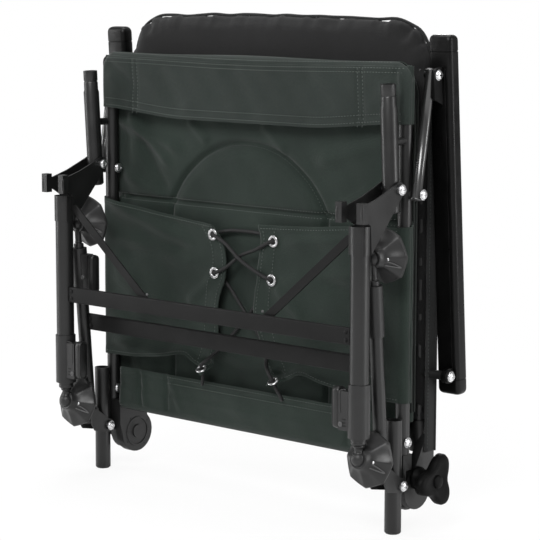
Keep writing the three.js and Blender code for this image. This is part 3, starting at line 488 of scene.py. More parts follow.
NODE_FINISH = {
    "seat_bow": PAINT, "seat_rear_bar": PAINT, "back_bow": PAINT, "rear_rail": PAINT, "front_rail": PAINT,
    "front_leg": PAINT, "rear_leg": PAINT, "front_inner_leg": PAINT, "rear_inner_leg": PAINT,
    "front_bracket": PAINT, "rear_bracket": PAINT, "arm_bracket": SHADED_BEAM_PLASTIC, "front_brace": SHADED_BAR_PAINT,
    "front_crossbar": SHADED_BAR_PAINT, "rear_crossbar": SHADED_BAR_PAINT, "strut": GLOSS, "arm_pin": PLASTIC,
    "rail_spacer": PLASTIC, "hinge_seat_arm": PLASTIC, "hinge_back_arm": PLASTIC, "recline_knob": KNOB_PLASTIC,
    "front_clamp": FOOT_PLASTIC, "rear_clamp": FOOT_PLASTIC, "front_lever": PLASTIC, "rear_lever": PLASTIC,
    "front_foot": FOOT_PLASTIC, "rear_foot": FOOT_PLASTIC, "arm_rest": SHADED_BEAM_PLASTIC,
    "front_pivot_bolt": ZINC, "rear_pivot_bolt": ZINC, "lace": CORD,
    "seat_cover": GREEN_CLOTH, "seat_cushion": GREEN_CLOTH, "back_cushion": CHARCOAL_CLOTH, "back_cover": BLACK_CLOTH,
}
ROUNDED = {
    "front_bracket": 0.0007, "rear_bracket": 0.0006, "front_crossbar": 0.0005, "rear_crossbar": 0.0005,
    "front_brace": 0.0006, "arm_bracket": 0.0006, "front_clamp": 0.0011, "rear_clamp": 0.001,
    "front_lever": 0.0013, "rear_lever": 0.0013, "hinge_seat_arm": 0.001, "hinge_back_arm": 0.001,
    "recline_knob": 0.0016, "arm_rest": 0.0012, "front_foot": 0.0006, "rear_foot": 0.0006,
}


def kind_of(name):
    for side in SIDES:
        name = name.removesuffix("_" + side)
    return name


def finish_frame():
    """Gives each node its material, welds its facets together and rounds its edges where they are thick enough."""
    for name, obj in frame["nodes"].items():
        kind = kind_of(name)
        obj.data.materials.clear()
        obj.data.materials.append(NODE_FINISH[kind])
        custom = obj.data.attributes.get("custom_normal")
        if custom:
            obj.data.attributes.remove(custom)
        smooth_all(obj.data)
        weld = obj.modifiers.new("weld", "WELD")
        weld.merge_threshold = WELD
        if kind in ROUNDED:
            rounding = obj.modifiers.new("rounding", "BEVEL")
            rounding.width = ROUNDED[kind]
            rounding.segments = 2
            rounding.limit_method = "ANGLE"
            rounding.angle_limit = CREASE
            rounding.harden_normals = True
        else:
            split = obj.modifiers.new("creases", "EDGE_SPLIT")
            split.split_angle = CREASE


# Cloth surfaces

END_FADE_SHARE = 0.25


def ease(t):
    """A smooth step from 0 to 1."""
    t = np.clip(t, 0, 1)
    return t * t * (3 - 2 * t)


def crease(x, z, start, end, width, depth):
    """A soft ridge, or a groove where depth is negative, along a line, fading at its ends."""
    dx, dz = end[0] - start[0], end[1] - start[1]
    length = math.hypot(dx, dz)
    along = ((x - start[0]) * dx + (z - start[1]) * dz) / length**2
    off = ((x - start[0]) * dz - (z - start[1]) * dx) / length
    fade = ease(along / END_FADE_SHARE + HALF) * ease((1 - along) / END_FADE_SHARE + HALF)
    return depth * np.exp(-((off / width) ** 2)) * fade


def creases(x, z, folds):
    return sum(crease(x, z, *fold) for fold in folds)


def ripple(x, z, length, height):
    """Slow unevenness of slack cloth, the same at every run."""
    a, b = 2 * math.pi * x / length, 2 * math.pi * z / length
    slow = np.sin(a + 1.7 * np.sin(b * 0.6)) * np.cos(b * 0.8 + 0.9)
    return height * (slow + HALF * np.sin(a * 1.9 + b * 1.3 + 2))


def pressed(off, depth, width):
    """A groove of a given depth and width along a line, by the distance off it."""
    return depth * np.exp(-((off / width) ** 2))


def rolled(into):
    """How far a cloth has rolled back round its tube, by the share of the roll that lies inside its edge."""
    return COVER_WRAP * (1 - np.sqrt(np.clip(1 - (1 - into) ** 2, 0, 1)))


def arch_distance(x, z):
    """Distance to the sewn arch, whose feet run straight down below the panel's seam."""
    ring = np.abs(np.hypot(x - ARCH["x"], z - ARCH["z"]) - ARCH["radius"])
    foot = math.sqrt(ARCH["radius"] ** 2 - (PANEL_SEAM - ARCH["z"]) ** 2)
    leg = np.abs(np.abs(x - ARCH["x"]) - foot)
    return np.where(z > PANEL_SEAM, ring, leg)


PANEL_FOLDS = (
    ((-0.262, 0.508), (-0.140, 0.474), 0.0085, 0.0058),
    ((-0.240, 0.520), (-0.160, 0.452), 0.0075, 0.0046),
    ((-0.120, 0.515), (-0.085, 0.487), 0.007, 0.0032),
    ((-0.215, 0.480), (-0.165, 0.415), 0.010, -0.0036),
    ((0.020, 0.515), (0.060, 0.480), 0.008, 0.0030),
    ((0.240, 0.505), (0.120, 0.470), 0.011, 0.0044),
    ((0.210, 0.440), (0.150, 0.405), 0.010, 0.0030),
    ((-0.250, 0.430), (-0.170, 0.404), 0.009, 0.0034),
)
SEAM_WIDTH = 0.0036
SEAM_DEPTH = 0.0062
PANEL_CROWN = 0.0042
PANEL_FADE = 0.05
ARCH_FADE = 0.022
PANEL_LIFT = 0.004


def panel_depth(x, z):
    """How far the panel behind the frame stands forward of its plane: cushion behind it, seams drawn in."""
    middle = PANEL_CROWN * ease((SEAT_X - np.abs(x)) / PANEL_FADE) * ease((COVER_TOP - z) / PANEL_FADE)
    arch = pressed(arch_distance(x, z), SEAM_DEPTH, SEAM_WIDTH)
    seam = pressed(z - PANEL_SEAM, SEAM_DEPTH, SEAM_WIDTH)
    inside = PANEL_CROWN * ease((ARCH["radius"] - np.hypot(x - ARCH["x"], z - ARCH["z"])) / ARCH_FADE)
    return middle + inside - arch - seam + creases(x, z, PANEL_FOLDS) + ripple(x, z, 0.11, 0.0006)


def panel_y(x, z):
    return COVER_BACK - CLOTH - panel_depth(x, z)


def band_top(x):
    """Height of the folded top edge of the band, square over the frame but for its soft corners."""
    corner = BAND["corner"]
    into = np.clip(np.abs(x) - (COVER_HALF - corner), 0, corner)
    slack = 0.0022 * np.sin(3 * math.pi * x) ** 2
    return COVER_TOP - slack - corner + np.sqrt(corner**2 - into**2)


def band_low(x):
    return BAND["low"] + BAND["rise"] * ease((np.abs(x) - 0.11) / 0.17)


def hem_line(x):
    return BAND["hem"] - BAND["hem_dip"] * np.cos(math.pi * x / (2 * COVER_HALF)) ** 2


def edge_distance(x, z):
    """Distance inside the band's outer edge, with its round corners."""
    corner = BAND["corner"]
    a = np.abs(x) - (COVER_HALF - corner)
    b = z - (COVER_TOP - corner)
    outside = np.hypot(np.clip(a, 0, None), np.clip(b, 0, None))
    return corner - np.where((a > 0) | (b > 0), outside, np.maximum(a, b))


BAND_FOLDS = (
    ((-0.268, 0.598), (-0.215, 0.560), 0.008, -0.0018),
    ((-0.262, 0.575), (-0.215, 0.535), 0.010, 0.0022),
    ((-0.160, 0.592), (-0.120, 0.530), 0.016, -0.0014),
    ((-0.030, 0.592), (0.020, 0.528), 0.020, -0.0016),
    ((0.120, 0.594), (0.070, 0.530), 0.018, -0.0014),
    ((0.272, 0.590), (0.215, 0.545), 0.010, 0.0020),
    ((0.262, 0.600), (0.262, 0.530), 0.006, -0.0026),
)


def roll_y(x, z):
    """Front of the cloth round the seat tube: flat across the frame, rolled back at its top and sides."""
    edge = edge_distance(x, z)
    into = np.clip(edge / COVER_WRAP, 0, 1)
    roll = rolled(into)
    inner = 1 - np.exp(-((np.clip(edge - COVER_WRAP, 0, None) / 0.03) ** 2))
    sag = 0.0028 * inner * ease((z - BAND["low"]) / 0.03)
    slack = creases(x, z, BAND_FOLDS) - ripple(x, z, 0.09, 0.0006)
    return COVER_FRONT + roll + (sag - slack) * ease(into)


def band_y(x, z):
    """Front of the band, a second cloth over the roll, drawn in along its seams."""
    into = ease(edge_distance(x, z) / COVER_WRAP)
    seams = sum(pressed(x - place, 0.0011, 0.0026) for place in BAND_SEAMS)
    low_seam = pressed(z - band_low(x) - BAND["stitch"] + 0.0048, 0.0009, 0.0055)
    return roll_y(x, z) + (seams + low_seam - BAND["layer"]) * into


def seat_band():
    """The cloth rolled over the seat's front tube, and the band that hangs in front of it from its hem."""
    across, share = np.meshgrid(spread(-COVER_HALF, COVER_HALF, 220, 0.6), spread(0, 1, 48, 0.5))
    low, top = band_low(across), band_top(across)
    z = ROLL_LOW + (top - ROLL_LOW) * share
    roll = sheet_object("seat_roll", across, roll_y(across, z), z)
    z = low + (hem_line(across) - low) * share
    band = sheet_object("seat_band", across, band_y(across, z), z)
    z = low + (top - low) * share
    back = COVER_BACK - CLOTH - (roll_y(across, z) - COVER_FRONT) * (COVER_BACK - SEAT_Y) / COVER_WRAP
    behind = sheet_object("seat_roll_back", across[::-1], back[::-1], z[::-1])
    return roll, band, behind


def seat_panel():
    """Panel behind the frame, from the rear bar's band up to the front tube."""
    x = spread(-SEAT_X, SEAT_X, 190)
    z = spread(COVER_LOW + PANEL_LIFT, COVER_TOP - COVER_WRAP * HALF, 180)
    across, up = np.meshgrid(x, z)
    return sheet_object("seat_panel", across, panel_y(across, up), up)


# Flaps: each has an outer edge round the seat tube, a top and a low edge, and an inner edge drawn by the lace
FLAP_EDGES = {
    "right": {
        "top": ((-0.2806, 0.3985), (-0.206, 0.3897), (-0.137, 0.3814), (-0.057, 0.3745)),
        "inner": ((-0.057, 0.3745), (-0.040, 0.355), (-0.030, 0.330), (-0.033, 0.305), (-0.042, 0.279),
                  (-0.047, 0.240), (-0.050, 0.205), (-0.060, 0.166)),
        "low": ((-0.2806, 0.169), (-0.215, 0.171), (-0.155, 0.179), (-0.112, 0.1875), (-0.088, 0.177),
                (-0.060, 0.166)),
    },
    "left": {
        "top": ((0.2806, 0.3975), (0.1917, 0.3925), (0.115, 0.3855), (0.030, 0.3815)),
        "inner": ((0.030, 0.3815), (0.032, 0.362), (0.030, 0.335), (0.026, 0.308), (0.020, 0.285), (0.022, 0.250),
                  (0.036, 0.208), (0.058, 0.166)),
        "low": ((0.2806, 0.169), (0.215, 0.170), (0.160, 0.177), (0.112, 0.1865), (0.086, 0.177), (0.058, 0.166)),
    },
}
FLAP_FOLDS = {
    "right": (
        ((-0.262, 0.392), (-0.100, 0.345), 0.010, 0.0050),
        ((-0.262, 0.345), (-0.085, 0.318), 0.012, 0.0036),
        ((-0.235, 0.318), (-0.110, 0.338), 0.010, -0.0034),
        ((-0.255, 0.190), (-0.095, 0.176), 0.010, 0.0044),
        ((-0.240, 0.235), (-0.085, 0.195), 0.013, -0.0038),
        ((-0.250, 0.290), (-0.150, 0.255), 0.016, 0.0030),
        ((-0.105, 0.262), (-0.058, 0.300), 0.008, 0.0026),
    ),
    "left": (
        ((0.262, 0.385), (0.085, 0.362), 0.010, 0.0042),
        ((0.262, 0.335), (0.075, 0.308), 0.012, 0.0036),
        ((0.240, 0.300), (0.110, 0.320), 0.010, -0.0032),
        ((0.255, 0.192), (0.095, 0.177), 0.011, 0.0044),
        ((0.240, 0.240), (0.085, 0.196), 0.013, -0.0038),
        ((0.105, 0.262), (0.058, 0.300), 0.008, 0.0026),
    ),
}

# Flat landings under the eyelets: their radius, fade, depth and slope, the low ones curled forward
UPPER_LANDING = {"radius": 0.0145, "fade": 0.006, "y": 0.0030, "slope": 0.0}
LOW_LANDING = {"radius": 0.0170, "fade": 0.010, "y": -0.0090, "slope": 1.7}
EYELETS = ((0.056, 0.361, UPPER_LANDING), (0.053, 0.308, UPPER_LANDING), (0.067, 0.1725, LOW_LANDING))
FACING = 0.026


def along_edge(points, shares):
    """Places on a smooth edge at the given shares of its length."""
    path = smooth_path([(x, 0, z) for x, z in points])
    flat = np.array([(p.x, p.z) for p in path])
    run = np.concatenate([[0], np.cumsum(np.hypot(*np.diff(flat, axis=0).T))])
    return np.interp(shares * run[-1], run, flat[:, 0]), np.interp(shares * run[-1], run, flat[:, 1])


def flap_grid(side, columns=90, rows=80):
    """Places over a flap, spanned between its four edges, and the shares across and up."""
    edges = FLAP_EDGES[side]
    across, up = np.meshgrid(spread(0, 1, columns, 0.4), spread(0, 1, rows, 0.4))
    top_x, top_z = along_edge(edges["top"], across)
    low_x, low_z = along_edge(edges["low"], across)
    inner_x, inner_z = along_edge(edges["inner"], 1 - up)
    outer_x = np.full_like(up, SIDES[side] * COVER_HALF)
    outer_z = edges["low"][0][1] + (edges["top"][0][1] - edges["low"][0][1]) * up

    def spanned(top, low, inner, outer, axis):
        start, end = (edges["low"][i][axis] * (1 - up) + edges["top"][i][axis] * up for i in (0, -1))
        return (1 - up) * low + up * top + (1 - across) * (outer - start) + across * (inner - end)

    x = spanned(top_x, low_x, inner_x, outer_x, 0)
    z = spanned(top_z, low_z, inner_z, outer_z, 1)
    return x, z, across, up


def flap_y(side, x, z, across, up):
    """Front of a flap: round the seat tube at its outer side, pulled tight towards its eyelets."""
    into = np.clip((COVER_HALF - np.abs(x)) / COVER_WRAP, 0, 1)
    tension = creases(x, z, FLAP_FOLDS[side])
    hem = 0.0011 * (ease((0.05 - (1 - up)) / 0.02) + ease((0.05 - up) / 0.02))
    bow = np.sin(math.pi * np.clip((across - 0.45) / 0.5, 0, 1))
    curl = 0.006 * ease((0.16 - up) / 0.16) * ease((across - 0.45) / 0.25) * bow
    loose = 0.0035 * ease((across - 0.86) / 0.14) * np.sin(3.2 * math.pi * up + 0.4) ** 2
    y = COVER_FRONT + rolled(into) + ease(into) * (-tension - hem - curl - loose + ripple(x, z, 0.12, 0.0009))
    for away, high, landing in EYELETS:
        near = np.hypot(x - SIDES[side] * away, z - high)
        level = landing["y"] + landing["slope"] * (z - high)
        y = y + (level - y) * ease((landing["radius"] - near) / landing["fade"])
    return y


def flap(side):
    x, z, across, up = flap_grid(side)
    y = flap_y(side, x, z, across, up)
    order = slice(None, None, -SIDES[side])
    return sheet_object("flap_" + side, x[:, order], y[:, order], z[:, order])


def wrap_wall(name, side, low, high):
    """Cloth round the outside of a seat tube, from the flap's edge back to the panel."""
    angle, up = np.meshgrid(spread(0, QUARTER, 12), spread(low, high, 60))
    depth = (COVER_BACK - SEAT_Y) * np.sin(angle)
    x = SIDES[side] * (COVER_HALF - COVER_WRAP * (1 - np.cos(angle)) + ripple(depth, up, 0.07, 0.0004))
    y = SEAT_Y + depth
    order = slice(None, None, SIDES[side])
    return sheet_object(name, x[:, order], y[:, order], up[:, order])


REAR_LIFT = 0.0008
REAR_SINK = 0.0022
REAR_SINK_LOW = 0.118
REAR_LENGTH_SHARE = 1.25
REAR_FOLDS = (
    ((-0.209, 0.151), (-0.200, 0.096), 0.0030, -0.0030),
    ((-0.200, 0.146), (-0.192, 0.098), 0.0040, 0.0020),
    ((-0.153, 0.150), (-0.149, 0.096), 0.0028, -0.0030),
    ((-0.143, 0.142), (-0.120, 0.104), 0.0060, 0.0016),
    ((0.190, 0.150), (0.184, 0.096), 0.0035, -0.0022),
    ((-0.060, 0.135), (0.050, 0.110), 0.012, 0.0018),
)


def rear_band():
    """Band sewn round the rear bar, with its darts."""
    low = COVER_LOW + REAR_LIFT
    across, share = np.meshgrid(spread(-REAR_HALF, REAR_HALF, 150), spread(0, 1, 70))
    reach = (COVER_BACK - COVER_FRONT) * HALF
    z_front = REAR_TOP - share * REAR_LENGTH_SHARE * (REAR_TOP - low)
    turning = low + reach
    bend = np.clip((turning - z_front) / reach, 0, 1) * QUARTER
    z = np.where(z_front > turning, z_front, turning - reach * np.sin(bend))
    y = np.where(z_front > turning, COVER_FRONT, COVER_FRONT + reach * (1 - np.cos(bend)))
    sink = REAR_SINK * ease((z_front - REAR_SINK_LOW) / 0.01) - creases(across, z_front, REAR_FOLDS)
    seams = sum(pressed(z_front - place, 0.0008, 0.003) for place in REAR_SEAMS)
    y = y + np.where(z_front > turning, sink + seams + ripple(across, z_front, 0.1, 0.0006), 0)
    return sheet_object("rear_band", across[::-1], y[::-1], z[::-1])


def seat_cloths():
    """All cloths of the seat's cover, each dressed in its cloth on the seat frame; the sizes that they were cut to are
    listed beside them but not used.
    """
    roll, band, roll_back = seat_band()
    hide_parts("seat_cover")
    panel, rear = seat_panel(), rear_band()
    wide = 2 * COVER_HALF
    cuts = [
        (roll, BAND_CLOTH, (wide, COVER_TOP - ROLL_LOW + COVER_WRAP), "stretched"),
        (band, BAND_CLOTH, (wide, BAND["hem"] - BAND["low"]), "hung"),
        (roll_back, GREEN_CLOTH, (wide, COVER_TOP - BAND["low"]), "stretched"),
        (panel, GREEN_CLOTH, (2 * SEAT_X, COVER_TOP - COVER_LOW), "stretched"),
        (rear, GREEN_CLOTH, (2 * REAR_HALF, REAR_TOP - COVER_LOW + COVER_WRAP), "stretched"),
    ]
    for side in SIDES:
        wall = wrap_wall("flap_wall_" + side, side, FLAP_LOW, FLAP_TOP)
        cuts.append((flap(side), GREEN_CLOTH, (COVER_HALF - FLAP_GAP, FLAP_TOP - FLAP_LOW), "stretched"))
        cuts.append((wall, GREEN_CLOTH, (COVER_WRAP * 2, FLAP_TOP - FLAP_LOW), "stretched"))
    for cloth, material, flat, held in cuts:
        dress(cloth, material, "seat_frame")


# Stitching

STITCH_AROUND = 5
STITCH_SHARES = ((0.0, 0.35), (0.25, 1.0), (0.75, 1.0), (1.0, 0.35))
LEAST = 1e-9
SEW_STEPS = 80
HEM_ENDS = (-0.27, 0.272)
LOW_ENDS = (-0.268, 0.272)
ROLL_ROW = 0.0042
ROLL_CORNER = 0.024
HEM_ROWS = (0.0030, 0.0085)
LOW_ROWS = (0, 0.0095)
SEAM_END = 0.003
PANEL_REACH = 0.262
PANEL_ROW = 0.004
ARCH_ROW = 0.0030
ARCH_LIFT = 0.0006
ARCH_STEPS = 90
FLAP_EDGE_ROW = 0.006
FLAP_HEM_SHARE = 0.04
FLAP_STEPS = 121
REAR_ENDS = (-0.15, 0.24)
REAR_STEPS = 90
REAR_ROW = 0.003
REAR_THREAD_LIFT = 0.0006


def stitch_run(points):
    """Start and end of each stitch along a path."""
    path = np.array([tuple(p) for p in points])
    run = np.concatenate([[0], np.cumsum(np.linalg.norm(np.diff(path, axis=0), axis=1))])
    count = max(int(run[-1] / STITCH_PITCH), 1)
    middles = (np.arange(count) + HALF) * run[-1] / count
    starts, ends = (
        np.stack([np.interp(middles + shift, run, path[:, i]) for i in range(3)], axis=1)
        for shift in (-STITCH * HALF, STITCH * HALF)
    )
    return starts, ends


def stitches(name, paths, material=THREAD_CLOTH, body="seat_frame"):
    """All stitches of some seams as one piece of small spindles."""
    points, faces = [], []
    spindle = tube_faces(len(STITCH_SHARES), STITCH_AROUND)
    for path in paths:
        for start, end in zip(*stitch_run(path)):
            run = end - start
            side = np.cross(run, (0, 1, 0))
            if np.linalg.norm(side) < LEAST:
                side = np.cross(run, (1, 0, 0))
            side = side / np.linalg.norm(side)
            other = np.cross(run, side) / np.linalg.norm(run)
            faces += moved_faces(spindle, len(points))
            for share, size in STITCH_SHARES:
                for across, up in circle(THREAD * size, STITCH_AROUND):
                    points.append(start + share * run + across * side + up * other)
    return dress(new_object(name, smooth_mesh(name, points, faces)), material, body)


def on_surface(surface, points, lift=THREAD):
    """Places on a cloth front, just proud of it."""
    return [(x, float(surface(np.array(x), np.array(z))) - lift, z) for x, z in points]


def line(start, end, count=60):
    return [tuple(a + (b - a) * i / count for a, b in zip(start, end)) for i in range(count + 1)]


def arch_points(radius):
    foot = math.asin((PANEL_SEAM - ARCH["z"]) / radius)
    angles = np.linspace(foot, math.pi - foot, ARCH_STEPS)
    return [(ARCH["x"] + radius * math.cos(a), ARCH["z"] + radius * math.sin(a)) for a in angles]


def flap_lines(side):
    """Stitch lines of a flap: along its top and low hems, and down its inner edge and its facing."""
    x, z, across, up = flap_grid(side, FLAP_STEPS, FLAP_STEPS)
    y = flap_y(side, x, z, across, up) - THREAD
    last = FLAP_STEPS - 1
    inset = int(last * FLAP_HEM_SHARE)
    found = []
    for row in (inset, last - inset):
        found.append([(x[row, c], y[row, c], z[row, c]) for c in range(8, last - 1)])
    for width in (FLAP_EDGE_ROW, FACING):
        columns = [int(np.argmin(np.abs(np.abs(x[r] - x[r, -1]) - width))) for r in range(last + 1)]
        found.append([(x[r, c], y[r, c], z[r, c]) for r, c in enumerate(columns)][6:-6])
    return found


def sew_cover():
    """All seams of the seat's cover, one piece of stitches for each cloth."""
    hem = [(x, float(hem_line(np.array(x)))) for x in np.linspace(*HEM_ENDS, SEW_STEPS)]
    low = [(x, float(band_low(np.array(x))) + BAND["stitch"]) for x in np.linspace(*LOW_ENDS, SEW_STEPS)]
    seams = [on_surface(roll_y, [(x, z + ROLL_ROW) for x, z in hem if abs(x) < COVER_HALF - ROLL_CORNER])]
    for edge, rows in ((hem, HEM_ROWS), (low, LOW_ROWS)):
        seams += [on_surface(band_y, [(x, z - row) for x, z in edge]) for row in rows]
    for place in BAND_SEAMS:
        seams.append(on_surface(band_y, line((place, BAND["low"] + SEAM_END), (place, BAND["hem"] - SEAM_END))))
    stitches("band_stitches", seams)
    heights = (PANEL_SEAM + PANEL_ROW, PANEL_SEAM - PANEL_ROW)
    stitches("panel_stitches", [on_surface(panel_y, line((-PANEL_REACH, z), (PANEL_REACH, z))) for z in heights])
    # The arch's stitches take the dark thread, partly as painted shade along the seam's groove
    arch = on_surface(panel_y, arch_points(ARCH["radius"] - ARCH_ROW), ARCH_LIFT)
    stitches("arch_stitches", [arch], DARK_THREAD_AND_SEAM_SHADE)
    stitches("flap_stitches", flap_lines("left") + flap_lines("right"))
    y = COVER_FRONT + REAR_SINK - REAR_THREAD_LIFT
    across = np.linspace(*REAR_ENDS, REAR_STEPS)
    stitches("rear_band_stitches", [[(x, y, place - REAR_ROW) for x in across] for place in REAR_SEAMS])


# Lace, from the tip low on one side through the six eyelets to the tip on the other

LACE_RADIUS = 0.0025
LACE_ROUTE = (
    (-0.0725, -0.0020, 0.1505), (-0.0700, -0.0035, 0.1570), (-0.0675, -0.0065, 0.1660), (-0.0670, -0.0095, 0.1730),
    (-0.0630, -0.0120, 0.1810), (-0.0520, -0.0050, 0.1920), (-0.0420, 0.0090, 0.2080), (-0.006, 0.0154, 0.248),
    (0.030, 0.0139, 0.286), (0.048, 0.0099, 0.303), (0.053, 0.0049, 0.308), (0.049, 0.0005, 0.3095),
    (0.030, -0.0006, 0.3165), (0.000, -0.0034, 0.332), (-0.028, -0.0008, 0.3505), (-0.050, 0.0002, 0.360),
    (-0.056, 0.0049, 0.3615), (-0.051, 0.0099, 0.364), (-0.030, 0.0119, 0.368), (0.0, 0.0129, 0.369),
    (0.030, 0.0119, 0.368), (0.051, 0.0099, 0.364), (0.056, 0.0053, 0.3615), (0.050, 0.0004, 0.3595),
    (0.026, 0.0006, 0.3475), (-0.004, 0.0020, 0.336), (-0.030, 0.0006, 0.3175), (-0.048, 0.0004, 0.3095),
    (-0.053, 0.0049, 0.308), (-0.048, 0.0099, 0.302), (-0.030, 0.0119, 0.286), (0.006, 0.0109, 0.246),
    (0.0360, 0.0100, 0.2120), (0.0500, -0.0050, 0.1930), (0.0630, -0.0120, 0.1810), (0.0670, -0.0095, 0.1730),
    (0.0680, -0.0065, 0.1655), (0.0715, -0.0030, 0.1560), (0.0755, -0.0020, 0.1490),
)
LACE_SIDES = 12
TIP_PROFILE = ((0, 0), (0.0017, 0.0004), (0.0021, 0.0015), (0.0021, 0.0062), (0.0016, 0.0072), (0, 0.0076))
TIP_OVER = 0.004
RING_STEPS = 40
RING_SIDES = 14
RING_FLAT = 0.6
RING_PROUD = 0.0011
# Flat disc that fills an eyelet's middle: painted shade where the hole through it is
EYELET_SHADE_DISC = ((0, 0), (0.0050, 0), (0.0050, 0.0003), (0, 0.0003))


def lacing():
    cord = tube_object("laced_cord", smooth_path(LACE_ROUTE), LACE_RADIUS, LACE_SIDES)
    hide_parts("lace")
    dress(cord, CORD, "seat_frame")
    tip = lathe_mesh("cord_tip", TIP_PROFILE, 16)
    for name, end, before in (("right", LACE_ROUTE[0], LACE_ROUTE[1]), ("left", LACE_ROUTE[-1], LACE_ROUTE[-2])):
        axis = (Vector(end) - Vector(before)).normalized()
        placed("cord_tip_" + name, tip, Vector(end) - axis * TIP_OVER, axis, PLASTIC, "seat_frame")


def eyelet_mesh():
    """Rolled flange of an eyelet, a ring whose wire is flattened."""
    points = []
    for along, up in circle(1, RING_STEPS):
        for out, high in circle(EYELET_WIRE, RING_SIDES):
            radius = EYELET_RING + out
            points.append((radius * along, radius * up, RING_FLAT * high))
    count = len(points)
    faces = [tuple(n % count for n in face) for face in grid_faces(RING_STEPS + 1, RING_SIDES, wrap=True)]
    return smooth_mesh("eyelet", points, [(a, d, c, b) for a, b, c, d in faces])


def eyelets():
    mesh = eyelet_mesh()
    # Each eyelet gets a flat dark disc in its middle, painted shade of its hole
    dark = lathe_mesh("eyelet_hole_shade", EYELET_SHADE_DISC, 24)
    for side, sign in SIDES.items():
        for i, (away, high, landing) in enumerate(EYELETS):
            out = Vector((0, -1, landing["slope"])).normalized()
            here = Vector((sign * away, landing["y"], high)) + out * RING_PROUD
            name = f"{side}_{i + 1}"
            placed("eyelet_" + name, mesh, here, out, NICKEL, "seat_frame")
            placed("eyelet_hole_shade_" + name, dark, here, out, HOLE_SHADE, "seat_frame")


# Cushions

OUTLINE_COUNT = 240
CORNER_STEPS = 16
CROWN_LEVEL = 0.35
FACE_LIMIT_SHARE = 0.96
BORDER_SHARE = 1.006
BULGE_FADE = 0.022
BULGE_POWER = 1.2
VOXEL = 0.005
PRESSURE = 3.5
CLOTH_FRAMES = 16
CLOTH_QUALITY = 4
CLOTH_STIFFNESS = 20
SWELL = 0.004
FACE_GAP = 0.0003
PIPING_WIDER_SHARE = 1.03
PIPING_HIGHER_SHARE = 1.01
NOTCH_X = 0.2438
NOTCH_Y = 0.04
NOTCH_TOP = 0.1385
NOTCH_SIZE = 0.1
NOTCH_CLEAR = 0.004
PUCKER_DEPTH = 0.0030
PUCKER_WAVES = ((53, 0, 1), (87, 1.3, 0.8), (31, 0.4, 0.5))
PUCKER_CORNER = {"x": 0.235, "width": 0.035, "least": 0.35}
PUCKER_EDGE = 0.005
PUCKER_FADE = 0.016
SEAT_PAD = {"under": 0.0085, "top_corner": 0.040, "low_corner": 0.050, "face": 0.001, "bulge": 0.16, "piping": 0.0045}
BACK_PAD = {"top": 0.004, "top_corner": 0.058, "low_corner": 0.060, "crown": 0.006, "front": 0.0015, "back": 0.001,
            "bulge": 0.22}


def pad_outline(half, low, high, top_corner, low_corner, crown):
    """Closed outline of a pad in X and Z, counted round from its right side."""
    corners = ((1, high, top_corner), (-1, high, top_corner), (-1, low, low_corner), (1, low, low_corner))
    points = []
    for i, (side, end, radius) in enumerate(corners):
        start = QUARTER * i
        centre_z = end - radius if end == high else end + radius
        for a in np.linspace(start, start + QUARTER, CORNER_STEPS):
            points.append((side * (half - radius) + radius * math.cos(a), centre_z + radius * math.sin(a)))
    closed = np.array(points + points[:1])
    run = np.concatenate([[0], np.cumsum(np.hypot(*np.diff(closed, axis=0).T))])
    at = np.linspace(0, run[-1], OUTLINE_COUNT, endpoint=False)
    x = np.interp(at, run, closed[:, 0])
    z = np.interp(at, run, closed[:, 1])
    raised = np.clip((z - (high - top_corner)) / top_corner, 0, 1)
    return x, z + crown * raised * (np.cos(math.pi * x / (2 * half)) - CROWN_LEVEL)


def pad_mesh(name, outline, front, back, bulge):
    """A boxed pad: a border between two piped edges, and two faces that bulge from them."""
    x, z = outline
    count = len(x)
    middle_z = float((z.min() + z.max()) * HALF)
    edge = bulge * (back - front)
    reach = min(float(x.max()), float(z.max() - middle_z))
    inset = np.concatenate([spread(0, 0.05, 8), spread(0.06, reach * FACE_LIMIT_SHARE, 22)])
    rise = edge * (1 - np.exp(-((inset / BULGE_FADE) ** BULGE_POWER)))
    rings = [(float(1 - i / reach), front + edge - float(r)) for i, r in zip(inset[::-1], rise[::-1])]
    rings += [(BORDER_SHARE, (front + back) * HALF)]
    rings += [(float(1 - i / reach), back - edge + float(r)) for i, r in zip(inset, rise)]
    points = []
    for share, y in rings:
        points += [(a * share, y, middle_z + (b - middle_z) * share) for a, b in zip(x, z)]
    faces = grid_faces(len(rings), count, wrap=True)
    last = len(points)
    points += [(0, front, middle_z), (0, back, middle_z)]
    faces += [(last, (i + 1) % count, i) for i in range(count)]
    start = (len(rings) - 1) * count
    faces += [(last + 1, start + i, start + (i + 1) % count) for i in range(count)]
    return new_object(name, smooth_mesh(name, points, faces))


def plump(obj):
    """Lets a pad swell as sewn cloth does: cloth under pressure, with its movement capped."""
    before = shape_with(obj.data, ("REMESH", {"mode": "VOXEL", "voxel_size": VOXEL}))
    body = new_object(obj.name + "_cloth", before)
    start = np.array([v.co for v in before.vertices])
    cloth = body.modifiers.new("cloth", "CLOTH")
    cloth.settings.use_pressure = True
    cloth.settings.uniform_pressure_force = PRESSURE
    cloth.settings.effector_weights.gravity = 0
    cloth.settings.quality = CLOTH_QUALITY
    cloth.settings.tension_stiffness = CLOTH_STIFFNESS
    cloth.point_cache.frame_start = 1
    cloth.point_cache.frame_end = CLOTH_FRAMES
    for step in range(1, CLOTH_FRAMES + 1):
        scene.frame_set(step)
    made = evaluated_mesh(body)
    shift = np.array([v.co for v in made.vertices]) - start
    size = np.linalg.norm(shift, axis=1, keepdims=True)
    kept = start + shift * np.minimum(1, SWELL / np.maximum(size, LEAST))
    made.vertices.foreach_set("co", kept.ravel())
    scene.frame_set(1)
    bpy.data.objects.remove(body)
    smooth_all(made)
    obj.data = made
    made.name = obj.name


